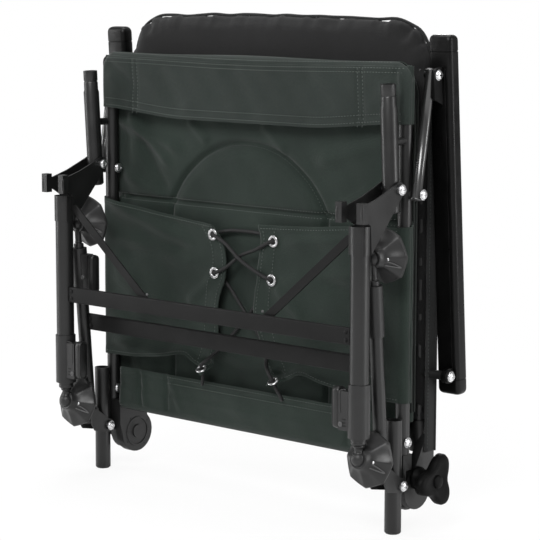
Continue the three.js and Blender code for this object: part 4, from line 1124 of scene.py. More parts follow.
def hold_between(obj, front, back):
    """Keeps a pad between two depths, flat where it meets them."""
    co = np.array([v.co for v in obj.data.vertices])
    co[:, 1] = np.clip(co[:, 1], front, back)
    obj.data.vertices.foreach_set("co", co.ravel())
    obj.data.update()


def piping(name, pad, outline, y, body, material=PIPING_CLOTH):
    """Piping sewn along the part of a pad's border above the notches, lying on the pad as it swelled."""
    chosen = [
        Vector((x * PIPING_WIDER_SHARE, y, z * PIPING_HIGHER_SHARE))
        for x, z in zip(*outline)
        if z > NOTCH_TOP + NOTCH_CLEAR
    ]
    start = max(range(len(chosen)), key=lambda i: (chosen[i] - chosen[i - 1]).length)
    found = []
    for place in chosen[start:] + chosen[:start]:
        _, spot, out, _ = pad.closest_point_on_mesh(place)
        found.append(spot + out * PIPING * HALF)
    return dress(tube_object(name, smooth_path(found[::3] + [found[-1]], 4), PIPING, 10), material, body)


def pucker(pad, outline):
    """Gathers the cloth into short folds that run in from the pad's piped edge, deeper at its corners."""
    coords = np.array([v.co for v in pad.data.vertices])
    normals = np.array([v.normal for v in pad.data.vertices])
    x, z = outline
    away = np.hypot(coords[:, None, 0] - x[None, :], coords[:, None, 2] - z[None, :])
    nearest = np.argmin(away, axis=1)
    inside = np.min(away, axis=1)
    turn = 2 * math.pi * nearest / len(x)
    folds = sum(size * np.sin(turn * rate + start) for rate, start, size in PUCKER_WAVES)
    corner, least = PUCKER_CORNER, PUCKER_CORNER["least"]
    bend = least + (1 - least) * np.exp(-(((np.abs(x[nearest]) - corner["x"]) / corner["width"]) ** 2))
    shift = PUCKER_DEPTH * folds * bend * ease(inside / PUCKER_EDGE) * np.exp(-inside / PUCKER_FADE)
    pad.data.vertices.foreach_set("co", (coords + normals * shift[:, None]).ravel())
    pad.data.update()


def notch(pad):
    """Cuts the pad's lower corners away where the hinges stand."""
    for side in SIDES.values():
        cutter = box_object("cutter", (NOTCH_SIZE, NOTCH_SIZE * 2, NOTCH_SIZE))
        place = (side * (NOTCH_X + NOTCH_SIZE * HALF), NOTCH_Y, NOTCH_TOP - NOTCH_SIZE * HALF)
        cutter.matrix_world = Matrix.Translation(place)
        cut_away(pad, cutter, "FAST", sharp=False)


def seat_cushion():
    low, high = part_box("seat_cushion")
    size = SEAT_PAD
    outline = pad_outline(high.x, seat_low.z - size["under"], high.z, size["top_corner"], size["low_corner"], 0)
    pad = pad_mesh("seat_pad", outline, low.y + size["face"], high.y - size["face"], size["bulge"])
    plump(pad)
    hold_between(pad, low.y + FACE_GAP, high.y - FACE_GAP)
    notch(pad)
    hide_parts("seat_cushion")
    dress(pad, GREEN_CLOTH, "seat_frame")
    piping("seat_pad_piping_front", pad, outline, low.y + size["piping"], "seat_frame")
    piping("seat_pad_piping_back", pad, outline, high.y - size["piping"], "seat_frame")


def back_cushion():
    low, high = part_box("back_cushion")
    size = BACK_PAD
    corners = (size["top_corner"], size["low_corner"])
    outline = pad_outline(high.x, low.z, high.z - size["top"], *corners, size["crown"])
    pad = pad_mesh("back_pad", outline, low.y + size["front"], high.y - size["back"], size["bulge"])
    plump(pad)
    pucker(pad, outline)
    hold_between(pad, low.y + FACE_GAP, high.y - FACE_GAP)
    notch(pad)
    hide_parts("back_cushion")
    dress(pad, CHARCOAL_CLOTH, "backrest")
    piping("headrest_piping", pad, outline, (low.y + high.y) * HALF, "backrest", BLACK_CLOTH)


# Back cover

BACK_CORNER = 0.009
BACK_BELLY = 0.0048
BACK_FOLDS = (
    ((-0.240, 0.180), (-0.060, 0.300), 0.016, -0.0022),
    ((0.240, 0.180), (0.060, 0.300), 0.020, -0.0016),
    ((-0.240, 0.520), (-0.080, 0.430), 0.020, -0.0016),
    ((0.240, 0.520), (0.080, 0.430), 0.020, -0.0016),
    ((-0.200, 0.120), (0.180, 0.135), 0.014, -0.0012),
)
BACK_RIPPLE = {"length": 0.13, "height": 0.0008}
BACK_FADE = {"side": 0.02, "end": 0.05}
BACK_STITCH = {"side": 0.024, "edge": 0.005, "low": 0.004, "end": 0.006, "across": 0.02, "off": 0.0001, "out": 0.0002}
BACK_PIPING = {"radius": 0.0016, "out": 0.0003, "place_share": 0.9}
RETURN_SHARE = 0.3


def back_section(half, front, back):
    """Outline of the cover from above: a return, a round corner, the back, and the same again."""
    corner = BACK_CORNER
    turn = np.linspace(0, QUARTER, 8)
    section = [(-half, front), (-half, front + (back - front) * RETURN_SHARE), (-half, back - corner)]
    for a in turn[1:]:
        section.append((-half + corner - corner * math.cos(a), back - corner + corner * math.sin(a)))
    section += [(s * (half - corner), back) for s in np.linspace(-1, 1, 120)[1:-1]]
    for a in turn:
        section.append((half - corner + corner * math.sin(a), back - corner + corner * math.cos(a)))
    return np.array(section + [(half, front + (back - front) * RETURN_SHARE), (half, front)])


def back_cover():
    """Black cloth across the back that returns along both sides of the cushion."""
    low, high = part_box("back_cover")
    corner = BACK_CORNER
    half, back, front = high.x, high.y, low.y
    flat = back_section(half, front, back)
    z = spread(low.z, high.z, 150)
    x = np.tile(flat[:, 0], (len(z), 1))
    y = np.tile(flat[:, 1], (len(z), 1))
    up = np.tile(z[:, None], (1, len(flat)))
    inside = ease((half - corner - np.abs(x)) / BACK_FADE["side"])
    belly = BACK_BELLY * inside * ease((up - low.z) / BACK_FADE["end"]) * ease((high.z - up) / BACK_FADE["end"])
    folds = (creases(x, up, BACK_FOLDS) + ripple(x, up, BACK_RIPPLE["length"], BACK_RIPPLE["height"])) * inside
    y = y + np.where(y > back - corner * HALF, belly + folds, 0)
    cover = sheet_object("back_panel", x[::-1], y[::-1], up[::-1])
    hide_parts("back_cover")
    dress(cover, BLACK_CLOTH, "backrest")
    flat = (2 * (half + back - front), high.z - low.z)
    sew_back(half, front, back, low.z, high.z)
    for name, sign in SIDES.items():
        edge = (sign * (half + BACK_PIPING["out"]), back - corner * BACK_PIPING["place_share"])
        path = [(*edge, h) for h in np.linspace(low.z, high.z, 60)]
        piece = tube_object("back_piping_" + name, path, BACK_PIPING["radius"], 10)
        dress(piece, BLACK_CLOTH, "backrest")


def sew_back(half, front, back, low, high):
    """Stitches down both sides of the back, down both returns and along the two ends."""
    sew = BACK_STITCH
    heights = np.linspace(low + sew["low"], high - sew["low"], 90)
    across = np.linspace(-half + sew["across"], half - sew["across"], 120)
    rows = [[(s * (half - sew["side"]), back + sew["off"], h) for h in heights] for s in SIDES.values()]
    rows += [[(s * (half + sew["out"]), front + sew["edge"], h) for h in heights] for s in SIDES.values()]
    rows += [[(x, back + sew["off"], h) for x in across] for h in (low + sew["end"], high - sew["end"])]
    stitches("back_stitches", rows, DARK_THREAD_AND_SEAM_SHADE, "backrest")


# Screws and rivets

SCREW = {"radius": 0.0061, "height": 0.0042}
SMALL_SCREW = {"radius": 0.0030, "height": 0.0016}
WASHER = {"wider_share": 1.12, "under": -0.0002, "top": 0.0008, "step": 0.0009}
RIM_SHARE = 0.35
RECESS_SHARES = (1.05, 0.26, 0.75)
DOME_END = 1.3
SCREWS = {
    "front_pivot": ((0.2895, -0.0156, 0.4478), 1, "seat_frame"),
    "front_pivot_inner": ((0.2541, -0.0156, 0.4478), -1, "seat_frame"),
    "rear_pivot": ((0.2889, -0.0051, 0.065), 1, "seat_frame"),
    "rear_pivot_inner": ((0.2541, -0.0051, 0.065), -1, "seat_frame"),
    "strut": ((0.2984, 0.0159, 0.440), 1, "strut"),
    "strut_inner": ((0.2563, 0.0159, 0.440), -1, "seat_frame"),
    "hinge": ((0.2785, 0.0149, 0.117), 1, "seat_frame"),
    "hinge_inner": ((0.2595, 0.0149, 0.117), -1, "seat_frame"),
    "back_hinge": ((0.2705, 0.0659, 0.122), 1, "backrest"),
    "arm_tab": ((0.3020, 0.0399, 0.590), 1, "arm_rest"),
    "arm_pin": ((0.3087, 0.0654, 0.2005), 1, "backrest"),
}
BODY_PER_SIDE = ("strut", "arm_rest")
FRONT = (0, -1, 0)
RIVET_SHIFT = 0.005
RIVET_IN = 0.006
REAR_RIVET_SINK = 0.0006
BRACE_RIVET = {"x": 0.107, "above": 0.0035}


def screw_mesh(radius, height):
    """Domed screw head with a cross recess, on a plain washer."""
    washer, rim = radius * WASHER["wider_share"], height * RIM_SHARE
    profile = [(0, WASHER["under"]), (washer, WASHER["under"]), (washer, WASHER["top"]), (radius, WASHER["step"])]
    profile.append((radius, rim))
    for a in np.linspace(0.25, DOME_END, 7):
        profile.append((radius * math.cos(a), rim + (height - rim) * math.sin(a)))
    head = new_object("screw", lathe_mesh("screw_head", profile + [(0, height)]))
    long, wide, deep = RECESS_SHARES
    for turn in (0, QUARTER):
        cutter = box_object("slot", (radius * long, radius * wide, height * deep))
        cutter.matrix_world = Matrix.Translation((0, 0, height)) @ Matrix.Rotation(turn, 4, "Z")
        cut_away(head, cutter)
    mesh = head.data
    bpy.data.objects.remove(head)
    return mesh


def rivet_mesh(radius, height):
    dome = [(radius * math.cos(a), height * math.sin(a)) for a in np.linspace(0, DOME_END, 6)]
    return lathe_mesh("rivet", [(0, 0)] + dome + [(0, height)], 20)


def screws():
    """Screw heads over the bolts that show, each riding with the piece that its bolt clamps."""
    mesh = screw_mesh(**SCREW)
    for side, sign in SIDES.items():
        for name, (place, facing, body) in SCREWS.items():
            here = (sign * place[0], *place[1:])
            body = f"{body}_{side}" if body in BODY_PER_SIDE else body
            obj = placed(f"screw_{name}_{side}", mesh, here, (sign * facing, 0, 0), ZINC, body)


def rivets():
    """Rivets at the ends of both crossbars and where the braces cross."""
    rivet, small = rivet_mesh(0.0029, 0.0014), rivet_mesh(0.0022, 0.0011)
    bars = (("front", "bar_rivet", 0), ("rear", "rear_bar_rivet", REAR_RIVET_SINK))
    for side, sign in SIDES.items():
        for i, shift in enumerate((RIVET_SHIFT, -RIVET_SHIFT)):
            for end, name, sink in bars:
                low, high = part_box(end + "_crossbar")
                here = (sign * (high.x - RIVET_IN), low.y + sink, (low.z + high.z) * HALF + shift)
                placed(f"{name}_{side}_{i + 1}", rivet, here, FRONT, SHADED_BAR_PAINT, end + "_legs")
        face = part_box("front_brace_" + side)[0].y
        here = (sign * BRACE_RIVET["x"], face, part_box("front_crossbar")[1].z + BRACE_RIVET["above"])
        placed(f"brace_rivet_{side}", small, here, FRONT, PALE_GREY_AND_HIGHLIGHT, "front_legs")


# Mud feet: rings of the outer form as distance along the foot's axis and radius

JOINTS = {joint["name"]: Vector(joint["pos_m"]) for joint in frame["joints"] if "pos_m" in joint}
LEVEL = Vector((1, 0, 0))
FOOT_TURN = {"front": math.radians(78), "rear": math.radians(94.3)}
FOOT_RINGS = (
    (-0.0020, 0.0098), (-0.0022, 0.0122), (-0.0012, 0.0131), (0.0045, 0.0140), (0.0072, 0.0160), (0.0110, 0.0215),
    (0.0150, 0.0280), (0.0190, 0.0342), (0.0205, 0.0362), (0.0228, 0.0371), (0.0247, 0.0366), (0.0250, 0.0352),
    (0.0212, 0.0335), (0.0165, 0.0240), (0.0124, 0.0130), (0.0120, 0.0020),
)
RISING_RINGS = slice(2, 10)
FOOT_AROUND = 128
FOOT_PETALS = 8
PETAL = {"start": 0.013, "fade": 0.018, "corner_share": 0.7, "sway_share": 0.006}
FLUTE = {"depth": 0.0019, "start": 0.0135, "rise": 0.008, "end": 0.0375, "fall": 0.006, "power": 1.5}
FOOT_RIB = math.radians(24)
RIB_LINE = ((0.0165, 0.17), (0.0245, 0.085), (0.0335, 0.0), (0.0245, -0.085), (0.0165, -0.17))
RIB = {"radius": 0.0009, "sink": 0.0008}
FOOT_RIVET = {"radius": 0.0175, "turn": 0.33, "sink": 0.0004}
STEM_SLOT = {"clear": 0.001, "deep": 0.0118, "long": 0.030, "from": 0.004}
LEG_WAY = {"front": (0, 0, 1), "rear": (0, 0.075, -1)}
BALL = {"front": 0.0098, "rear": 0.0096}
STEM = {"front": 0.0054, "rear": 0.0044}
STEM_CLEAR = 0.0002
BALL_REACH = {"front": 0.0234, "rear": 0.0330}
BALL_TUBE = {"front": 0.0099, "rear": 0.0068}
BALL_LOW = -1.45
COLLAR_UNDER = 0.0085
# Radius of the collar as a share of the tube's, and its distance below the tube's plug
COLLAR_SHARES = (
    (0.72, 0.0080), (0.78, 0.0060), (0.70, 0.0056), (0.70, 0.0046), (0.98, 0.0042), (1.04, 0.0034), (1.04, 0.0008),
    (0.98, 0.0001),
)


def foot_place(along, radius, angle):
    """A place on the foot's outer face, where its petals and flutes bring it."""
    share = ease((radius - PETAL["start"]) / PETAL["fade"])
    step = 2 * math.pi / FOOT_PETALS
    corner = math.cos(step * HALF) / math.cos((angle % step) - step * HALF)
    petal = 1 + PETAL["corner_share"] * (corner - 1) * share
    size = radius * petal * (1 + PETAL["sway_share"] * share * math.sin(3 * angle))
    middle = ease((radius - FLUTE["start"]) / FLUTE["rise"]) * ease((FLUTE["end"] - radius) / FLUTE["fall"])
    dip = FLUTE["depth"] * middle * abs(math.sin(angle * FOOT_PETALS * HALF)) ** FLUTE["power"]
    return (size * math.cos(angle), size * math.sin(angle), along + dip)


def foot_along(radius):
    """Distance along the foot's axis of its outer face at a radius."""
    along, radii = zip(*FOOT_RINGS[RISING_RINGS])
    return float(np.interp(radius, radii, along))


def foot_basis(end):
    """The turn that takes a foot drawn facing +Z to the way it faces when folded, towards the back rest."""
    facing = Vector((0, math.sin(FOOT_TURN[end]), -math.cos(FOOT_TURN[end])))
    return Matrix((LEVEL, facing.cross(LEVEL), facing)).transposed().to_4x4()


def foot_mesh(end):
    """Mud foot: a fluted cone with a neck round the ball, slotted for the stem."""
    turns = [2 * math.pi * i / FOOT_AROUND for i in range(FOOT_AROUND)]
    points = [foot_place(along, radius, turn) for along, radius in FOOT_RINGS for turn in turns]
    foot = new_object("foot", smooth_mesh("foot", points, tube_faces(len(FOOT_RINGS), FOOT_AROUND)))
    right_way_out(foot.data)
    way = (foot_basis(end).inverted().to_3x3() @ Vector(LEG_WAY[end])).normalized()
    side = way.cross(LEVEL).normalized()
    cutter = box_object("cutter", (2 * (STEM[end] + STEM_SLOT["clear"]), STEM_SLOT["deep"], STEM_SLOT["long"]))
    turn = Matrix((LEVEL, side, way)).transposed().to_4x4()
    cutter.matrix_world = Matrix.Translation(way * (STEM_SLOT["long"] * HALF + STEM_SLOT["from"])) @ turn
    cut_away(foot, cutter)
    mesh = foot.data
    bpy.data.objects.remove(foot)
    return mesh


def ball_mesh(end):
    """Ball, its stem and the collar below the tube's plug, drawn upwards from the ball's centre."""
    ball, stem = BALL[end], STEM[end] + STEM_CLEAR
    reach, tube = BALL_REACH[end], BALL_TUBE[end]
    turns = np.linspace(BALL_LOW, math.acos(stem / ball), 22)
    profile = [(0, -ball)] + [(ball * math.cos(a), ball * math.sin(a)) for a in turns]
    profile.append((stem, reach - COLLAR_UNDER))
    profile += [(tube * share, reach - drop) for share, drop in COLLAR_SHARES]
    return lathe_mesh("ball", profile + [(0, reach)], 40)


def feet():
    """Feet with their rivets and raised ribs, the ribs pale grey as a painted highlight along their ridge, the balls
    that they turn on, and the collars above them.
    """
    for end in ("front", "rear"):
        mesh, ball, rivet = foot_mesh(end), ball_mesh(end), rivet_mesh(0.0021, 0.0012)
        basis = foot_basis(end)
        for side in SIDES:
            body = f"{end}_foot_{side}"
            centre = JOINTS[f"{end}_foot_turn_{side}"]
            to_world = Matrix.Translation(centre) @ basis
            obj = new_object(f"foot_{end}_{side}", mesh)
            obj.matrix_world = to_world
            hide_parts(body)
            dress(obj, FOOT_PLASTIC, body)
            path = [to_world @ Vector(foot_place(foot_along(r) - RIB["sink"], r, FOOT_RIB + a)) for r, a in RIB_LINE]
            rib = tube_object(f"foot_rib_{end}_{side}", smooth_path(path, 6), RIB["radius"], 8)
            # The rib's pale grey is a painted highlight along its ridge
            dress(rib, PALE_GREY_AND_HIGHLIGHT, body)
            radius = FOOT_RIVET["radius"]
            place = foot_place(foot_along(radius) - FOOT_RIVET["sink"], radius, FOOT_RIB - FOOT_RIVET["turn"])
            facing = -(basis.to_3x3() @ Vector((0, 0, 1)))
            placed(f"foot_rivet_{end}_{side}", rivet, to_world @ Vector(place), facing, ZINC, body)
            placed(f"ball_{end}_{side}", ball, centre, LEG_WAY[end], FOOT_PLASTIC, f"{end}_inner_leg_{side}")


# Recline knobs: rings of the grip as distance along its axis and share of its radius

KNOB_RING_SHARES = (
    (0, 0.80), (0.0012, 0.92), (0.0035, 1.0), (0.0098, 1.0), (0.0130, 0.95), (0.0147, 0.85), (0.0144, 0.66),
    (0.0128, 0.42),
)
KNOB_AROUND = 144
KNOB_LOBES = 3
KNOB_TURN = math.radians(63)
KNOB_WAIST = 0.0212
KNOB_LOBE = 0.0163
LOBE_POWER = 1.2
KNOB_MIDDLE = 0.0110
GRIP_DEEP = 0.0150
CAP_DEEP = 0.0022
HUB_PROFILE = (
    (0, 0), (0.0150, 0), (0.0150, 0.0040), (0.0138, 0.0052), (0.0126, 0.0120), (0.0132, 0.0200), (0.0150, 0.0220),
    (0, 0.0225),
)
CAP_PROFILE = (
    (0, -0.002), (0.0088, -0.002), (0.0088, 0.0010), (0.0078, 0.0022), (0.0045, 0.0030), (0, 0.0033),
)


def knob_mesh():
    """Three-lobed grip with rounded lobes, a dished face and a raised middle, standing on its hub."""
    rings = []
    for along, share in KNOB_RING_SHARES:
        ring = []
        for i in range(KNOB_AROUND):
            angle = 2 * math.pi * i / KNOB_AROUND
            lobe = HALF + HALF * math.cos(KNOB_LOBES * (angle - KNOB_TURN))
            radius = (KNOB_WAIST + KNOB_LOBE * lobe**LOBE_POWER) * share if share > HALF else KNOB_MIDDLE
            ring.append((radius * math.cos(angle), radius * math.sin(angle), along))
        rings.append(ring)
    return loft_mesh("knob", rings, sharp=False)


def knobs():
    grip = knob_mesh()
    hub, cap = lathe_mesh("knob_hub", HUB_PROFILE, 48), lathe_mesh("knob_cap", CAP_PROFILE)
    for side, sign in SIDES.items():
        body = f"recline_knob_{side}"
        low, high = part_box(body)
        centre = JOINTS[f"knob_turn_{side}"]
        inner, outer = (low.x, high.x) if sign > 0 else (high.x, low.x)
        obj = new_object("knob_grip_" + side, grip)
        turn = Matrix(((0, 0, sign), (1, 0, 0), (0, 1, 0))).to_4x4()
        obj.matrix_world = Matrix.Translation((outer - sign * GRIP_DEEP, centre.y, centre.z)) @ turn
        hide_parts(body)
        dress(obj, KNOB_PLASTIC, body)
        for name, mesh, x in (("hub", hub, inner), ("cap", cap, outer - sign * CAP_DEEP)):
            placed(f"knob_{name}_{side}", mesh, (x, centre.y, centre.z), (sign, 0, 0), KNOB_PLASTIC, body)


# Arm rests and struts: end forms as distance from the end and distance drawn in

ARM_END = ((0, 0.0060), (0.0006, 0.0040), (0.0018, 0.0022), (0.0036, 0.0009), (0.0060, 0.0002), (0.0085, 0))
ARM_GROOVE = ((0.0205, 0), (0.0209, 0.0006), (0.0215, 0.0006), (0.0219, 0))
ARM_CORNER = 0.0062
ARM_THICK = 0.021
ARM_WIDE = 0.0356
ARM_INNER = 0.2774
ARM_UNDER = 0.0104
ARM_BELOW = 0.028
ARM_LENGTH = 0.468
ARM_LOW_PIVOT = Vector((0, 0.0654, 0.2005))
ARM_TOP_PIVOT = Vector((0, 0.0399, 0.590))
STRUT_LOW = Vector((0.289, 0.0159, 0.440))
STRUT_TOP = Vector((0.289, 0.0399, 0.590))
STRUT_PAST = 0.009
STRUT_BODY = 0.0066
STRUT_CAP = 0.0080
STRUT_LIP = 0.0040
STRUT_STEP = 0.0008
STRUT_END_SHARES = ((0.5, 0.0003), (0.85, 0.0012), (1, 0.0026))
SPACER_PROFILE = ((0, 0), (0.0036, 0), (0.0036, 0.0110), (0, 0.0110))
SPACER_IN = 0.0105


def arm_rests():
    """Arm rests with soft edges and a moulded cap at each end, leaning with the line between their two pivots."""
    along = (ARM_TOP_PIVOT - ARM_LOW_PIVOT).normalized()
    out = Vector((0, along.z, -along.y))
    half = ARM_END + ARM_GROOVE
    rings = []
    for reach, inset in half + tuple((ARM_LENGTH - reach, inset) for reach, inset in reversed(half)):
        ring = rounded_ring(ARM_WIDE * HALF - inset, ARM_THICK * HALF - inset, ARM_CORNER - inset * HALF)
        rings.append([(a, b, reach) for a, b in ring])
    beam = loft_mesh("arm_beam", rings)
    turn = Matrix((LEVEL, out, along)).transposed().to_4x4()
    for side, sign in SIDES.items():
        across = LEVEL * sign * (ARM_INNER + ARM_WIDE * HALF)
        foot = across + ARM_LOW_PIVOT + out * (ARM_UNDER + ARM_THICK * HALF) - along * ARM_BELOW
        obj = new_object("arm_beam_" + side, beam)
        obj.matrix_world = Matrix.Translation(foot) @ turn
        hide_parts("arm_rest_" + side)
        dress(obj, SHADED_BEAM_PLASTIC, "arm_rest_" + side)


def struts():
    """Glossy struts with a domed cap at each end, and a spacer on each strut's lower bolt."""
    length = (STRUT_TOP - STRUT_LOW).length + 2 * STRUT_PAST
    half = [(STRUT_CAP * share, high) for share, high in STRUT_END_SHARES]
    half += [(STRUT_CAP, STRUT_LIP), (STRUT_BODY, STRUT_LIP + STRUT_STEP)]
    profile = [(0, 0)] + half + [(radius, length - high) for radius, high in reversed(half)] + [(0, length)]
    mesh = lathe_mesh("strut", profile, 40)
    spacer = lathe_mesh("strut_spacer", SPACER_PROFILE, 24)
    way = (STRUT_TOP - STRUT_LOW).normalized()
    for side, sign in SIDES.items():
        low = Vector((sign * STRUT_LOW.x, *STRUT_LOW.yz))
        obj = placed("strut_tube_" + side, mesh, low - way * STRUT_PAST, way, GLOSS, f"strut_{side}")
        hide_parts(f"strut_{side}")
        place = low - LEVEL * sign * SPACER_IN
        placed("strut_spacer_" + side, spacer, place, (-sign, 0, 0), PAINT, f"strut_{side}")


# Levers, clamps, brackets and hinges

# Rings of a paddle as a share of its thickness and the distance drawn in
PADDLE_SHARES = ((0, 0.0020), (0.12, 0.0008), (0.3, 0.0004), (0.75, 0.0004), (0.92, 0.0010), (1, 0.0026))
PADDLE_ROUND_SHARE = 0.8
PADDLE_RIM = {"in": 0.0016, "round_share": 0.7, "radius": 0.0009}
CLAMP_FRONT = -0.0849
CLAMP_SLOT = {"half_x": 0.0028, "half_z": 0.0008, "corner": 0.0007, "deep": 0.0004}
CLAMP_SLOTS = {"count": 3, "x": 0.0094, "low": 0.1515, "pitch": 0.0042}
CLAMP_SCREW = {"x": 0.0040, "z": 0.1535}
BAIL = ((0.0035, 0.168), (0.0030, 0.190), (0.0040, 0.1965), (0.0100, 0.1985), (0.0130, 0.1985))
BAIL_RADIUS = 0.0011
BAIL_PROUD = 0.0004
REAR_SCREW = {"x": 0.0075, "y": 0.0046, "z": 0.026}
LIP = {"in": 0.0022, "under": 0.0218, "long": 0.0260, "radius": 0.0026}
# A lip's line as distance inward, forward of its low end's Y, and up from its low end
LIP_LINE = ((0, 0.0026, 0.003), (-0.0004, 0.0018, 0.010), (0, 0.0022, 0.020), (0.0015, 0.0036, 0.025))
HINGE_HOLE_SHADE = ((0, 0), (0.0011, 0), (0.0011, 0.0003), (0, 0.0003))
HINGE_HOLES = {"count": 4, "radius": 0.0245, "turn": 0.6, "face": 0.247}


def levers():
    """Clamp levers: a rounded paddle with a raised rim, in place of each plain one."""
    for name in (f"{end}_lever_{side}" for end in ("front", "rear") for side in SIDES):
        low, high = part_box(name)
        middle = (low + high) * HALF
        sign = 1 if middle.x > 0 else -1
        face = low.x if sign > 0 else high.x
        _, half_y, half_z = (high - low) * HALF
        rings = []
        for share, inset in PADDLE_SHARES:
            ring = rounded_ring(half_y - inset, half_z - inset, half_y * PADDLE_ROUND_SHARE - inset)
            rings.append([(face - middle.x + sign * share * (high.x - low.x), a, b) for a, b in ring])
        obj = new_object("paddle_" + name, loft_mesh("paddle", rings))
        obj.matrix_world = Matrix.Translation(middle)
        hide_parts(name)
        dress(obj, PLASTIC, name)
        inset = PADDLE_RIM["in"]
        ring = rounded_ring(half_y - inset, half_z - inset, half_y * PADDLE_RIM["round_share"], 9)
        rim = [(face, middle.y + a, middle.z + b) for a, b in ring]
        rim = tube_object("rim_" + name, rim, PADDLE_RIM["radius"], 8, closed=True)
        dress(rim, PLASTIC, name)


def clamp_details():
    """Slots of each front clamp as thin dark insets, painted shade where recessed slots would be; its screw and bail;
    and the screw of each rear one.
    """
    outline = rounded_ring(CLAMP_SLOT["half_x"], CLAMP_SLOT["half_z"], CLAMP_SLOT["corner"])
    # Each slot is a thin dark inset standing proud of the face: painted shade in place of a recessed slot
    slot = loft_mesh("clamp_slot_shade", [[(a, b, h) for a, b in outline] for h in (0, CLAMP_SLOT["deep"])])
    small = screw_mesh(**SMALL_SCREW)
    for side, sign in SIDES.items():
        low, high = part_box(f"front_clamp_{side}")
        inner = low.x if sign > 0 else high.x
        for i in range(CLAMP_SLOTS["count"]):
            here = (inner + sign * CLAMP_SLOTS["x"], CLAMP_FRONT, CLAMP_SLOTS["low"] + CLAMP_SLOTS["pitch"] * i)
            placed(f"clamp_slot_{side}_{i + 1}", slot, here, FRONT, HOLE_SHADE, "front_legs")
        here = (inner + sign * CLAMP_SCREW["x"], CLAMP_FRONT, CLAMP_SCREW["z"])
        placed(f"clamp_screw_{side}", small, here, FRONT, PALE_GREY_AND_HIGHLIGHT, "front_legs")
        path = [(inner + sign * a, CLAMP_FRONT + BAIL_PROUD, b) for a, b in BAIL]
        bail = tube_object(f"clamp_bail_{side}", smooth_path(path, 6), BAIL_RADIUS, 8)
        dress(bail, PLASTIC, "front_legs")
        low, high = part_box(f"rear_clamp_{side}")
        inner = low.x if sign > 0 else high.x
        here = (inner + sign * REAR_SCREW["x"], low.y + REAR_SCREW["y"], low.z + REAR_SCREW["z"])
        placed(f"rear_clamp_screw_{side}", small, here, FRONT, PALE_GREY_AND_HIGHLIGHT, "rear_legs")


def bracket_lips():
    """Rolled ends of the bracket plates' lips."""
    for side in SIDES:
        low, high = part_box(f"front_bracket_{side}")
        foot = high.z - LIP["under"] - LIP["long"]
        for name, place, inward in (("in", low.x, 1), ("out", high.x, -1)):
            edge = place + inward * LIP["in"]
            path = [(edge + inward * a, low.y + b, foot + c) for a, b, c in LIP_LINE]
            lip = tube_object(f"lip_{side}_{name}", smooth_path(path, 6), LIP["radius"])
            dress(lip, PAINT, "front_legs")


def hinge_holes():
    """Small dark discs on the face of each hinge disc: painted shade where its small round holes are."""
    dark = lathe_mesh("hinge_hole_shade", HINGE_HOLE_SHADE, 16)
    centre = JOINTS["recline"]
    radius = HINGE_HOLES["radius"]
    for side, sign in SIDES.items():
        for i in range(HINGE_HOLES["count"]):
            angle = QUARTER * i + HINGE_HOLES["turn"]
            off_y, off_z = radius * math.cos(angle), radius * math.sin(angle)
            place = (sign * HINGE_HOLES["face"], centre.y + off_y, centre.z + off_z)
            placed(f"hinge_hole_{side}_{i + 1}", dark, place, (-sign, 0, 0), HOLE_SHADE, "seat_frame")


# Floor, light and camera

FLOOR_REACH = 12
FLOOR_SHADES = (0.86, 0.88)
# How much of the floor the camera looks through, near the object and far from it, and where that changes
FLOOR_CLEAR_SHARES = (0.88, 1.0)
FLOOR_FADE_SHARES = (0.22, 0.60)
WORLD_LIGHT = 0.22
MIRROR_SHARE = 0.3
TARGET = (0, 0, 0.33)
LIGHTS = {
    "key": ((0.9, -2.2, 2.3), (1.5, 1.2), 74),
    "left_strip": ((-2.3, -1.3, 1.0), (0.4, 2.0), 26),
    "right_strip": ((2.5, 0.9, 0.8), (0.35, 2.2), 30),
    "top": ((-0.2, 0.3, 2.6), (2.0, 1.2), 34),
    "back": ((-1.0, 2.6, 1.5), (1.6, 1.2), 40),
}
CAMERA_END = 60


def floor():
    """Pale floor that shows the object's shadow, and lets through what a pose brings below it."""
    corners = [(x * FLOOR_REACH, y * FLOOR_REACH, 0) for x, y in ((-1, -1), (1, -1), (1, 1), (-1, 1))]
    obj = new_object("floor", smooth_mesh("floor", corners, [(0, 1, 2, 3)]))
    material, tree, shader = new_material("floor", Roughness=0.9, Specular_IOR_Level=0.1)
    low, high = ((shade, shade, shade, 1) for shade in FLOOR_SHADES)
    tree.links.new(ramp(tree, noise(tree, 3, 2), low, high), shader.inputs["Base Color"])
    path = node(tree, "ShaderNodeLightPath").outputs
    clear = node(tree, "ShaderNodeBsdfTransparent")
    away = node(tree, "ShaderNodeVectorMath", {0: place_of(tree)}, operation="LENGTH").outputs["Value"]
    fading = ramp(tree, maths(tree, "MULTIPLY", away, HALF), *FLOOR_CLEAR_SHARES, *FLOOR_FADE_SHARES)
    share = maths(tree, "MULTIPLY", path["Is Camera Ray"], fading)
    seen = maths(tree, "MAXIMUM", share, path["Is Shadow Ray"])
    join_shaders(tree, seen, shader, clear, "OUTPUT_MATERIAL")
    obj.data.materials.append(material)


def join_shaders(tree, share, first, second, kind):
    """Mixes two shaders into the output of a material or a world."""
    mix = node(tree, "ShaderNodeMixShader", {0: share})
    tree.links.new(first.outputs[0], mix.inputs[1])
    tree.links.new(second.outputs[0], mix.inputs[2])
    output = next(n for n in tree.nodes if n.type == kind)
    tree.links.new(mix.outputs[0], output.inputs["Surface"])


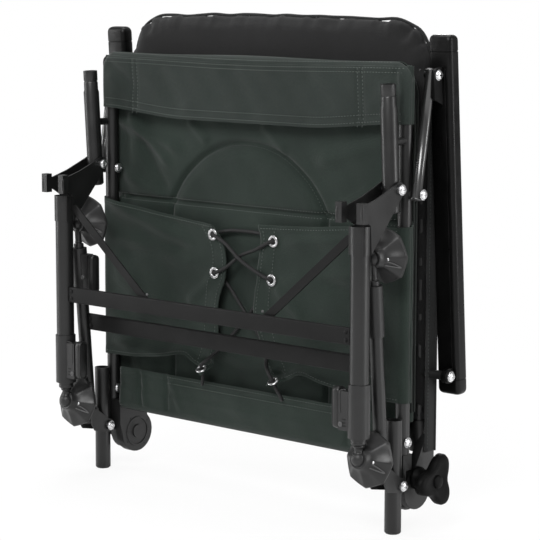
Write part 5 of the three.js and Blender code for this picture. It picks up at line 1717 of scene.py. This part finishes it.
def area_light(name, place, size, power):
    data = bpy.data.lights.new(name, "AREA")
    data.shape = "RECTANGLE"
    data.size, data.size_y = size
    data.energy = power
    obj = new_object(name, data)
    back = (Vector(place) - Vector(TARGET)).normalized()
    obj.matrix_world = Matrix.Translation(place) @ back.to_track_quat("Z", "Y").to_matrix().to_4x4()


def lights():
    """A world that is white to the camera and dim to the object, and the area lights."""
    world = bpy.data.worlds.new("studio")
    world.use_nodes = True
    scene.world = world
    tree = world.node_tree
    path = node(tree, "ShaderNodeLightPath").outputs
    mirrored = maths(tree, "MAXIMUM", path["Is Glossy Ray"], path["Is Transmission Ray"])
    seen = maths(tree, "MAXIMUM", path["Is Camera Ray"], maths(tree, "MULTIPLY", mirrored, MIRROR_SHARE))
    shade = tree.nodes["Background"]
    shade.inputs["Color"].default_value = (1, 1, 1, 1)
    shade.inputs["Strength"].default_value = WORLD_LIGHT
    white = node(tree, "ShaderNodeBackground", {"Color": (1, 1, 1, 1), "Strength": 1.0})
    join_shaders(tree, seen, shade, white, "OUTPUT_WORLD")
    for name, (place, size, power) in LIGHTS.items():
        area_light(name, place, size, power)


def camera():
    """Camera as solved from the photograph, with its small roll."""
    data = bpy.data.cameras.new("camera")
    data.lens = CAMERA_LENS
    data.clip_end = CAMERA_END
    obj = new_object("camera", data)
    level = Vector((math.cos(CAMERA_AZIMUTH), math.sin(CAMERA_AZIMUTH), 0))
    ahead = Vector((level.y, -level.x, 0))
    back = ahead * math.cos(CAMERA_ELEVATION) + Vector((0, 0, math.sin(CAMERA_ELEVATION)))
    upright = back.cross(level)
    right = level * math.cos(CAMERA_ROLL) + upright * math.sin(CAMERA_ROLL)
    up = upright * math.cos(CAMERA_ROLL) - level * math.sin(CAMERA_ROLL)
    turn = Matrix((right, up, back)).transposed().to_4x4()
    obj.matrix_world = Matrix.Translation(CAMERA_PLACE) @ turn
    scene.camera = obj


camera()
finish_frame()

seat_cloths()
sew_cover()
lacing()
eyelets()
seat_cushion()
back_cushion()
back_cover()
screws()
rivets()
feet()
knobs()
arm_rests()
levers()
clamp_details()
bracket_lips()
hinge_holes()
struts()
floor()
lights()

scene.view_settings.view_transform = "Standard"
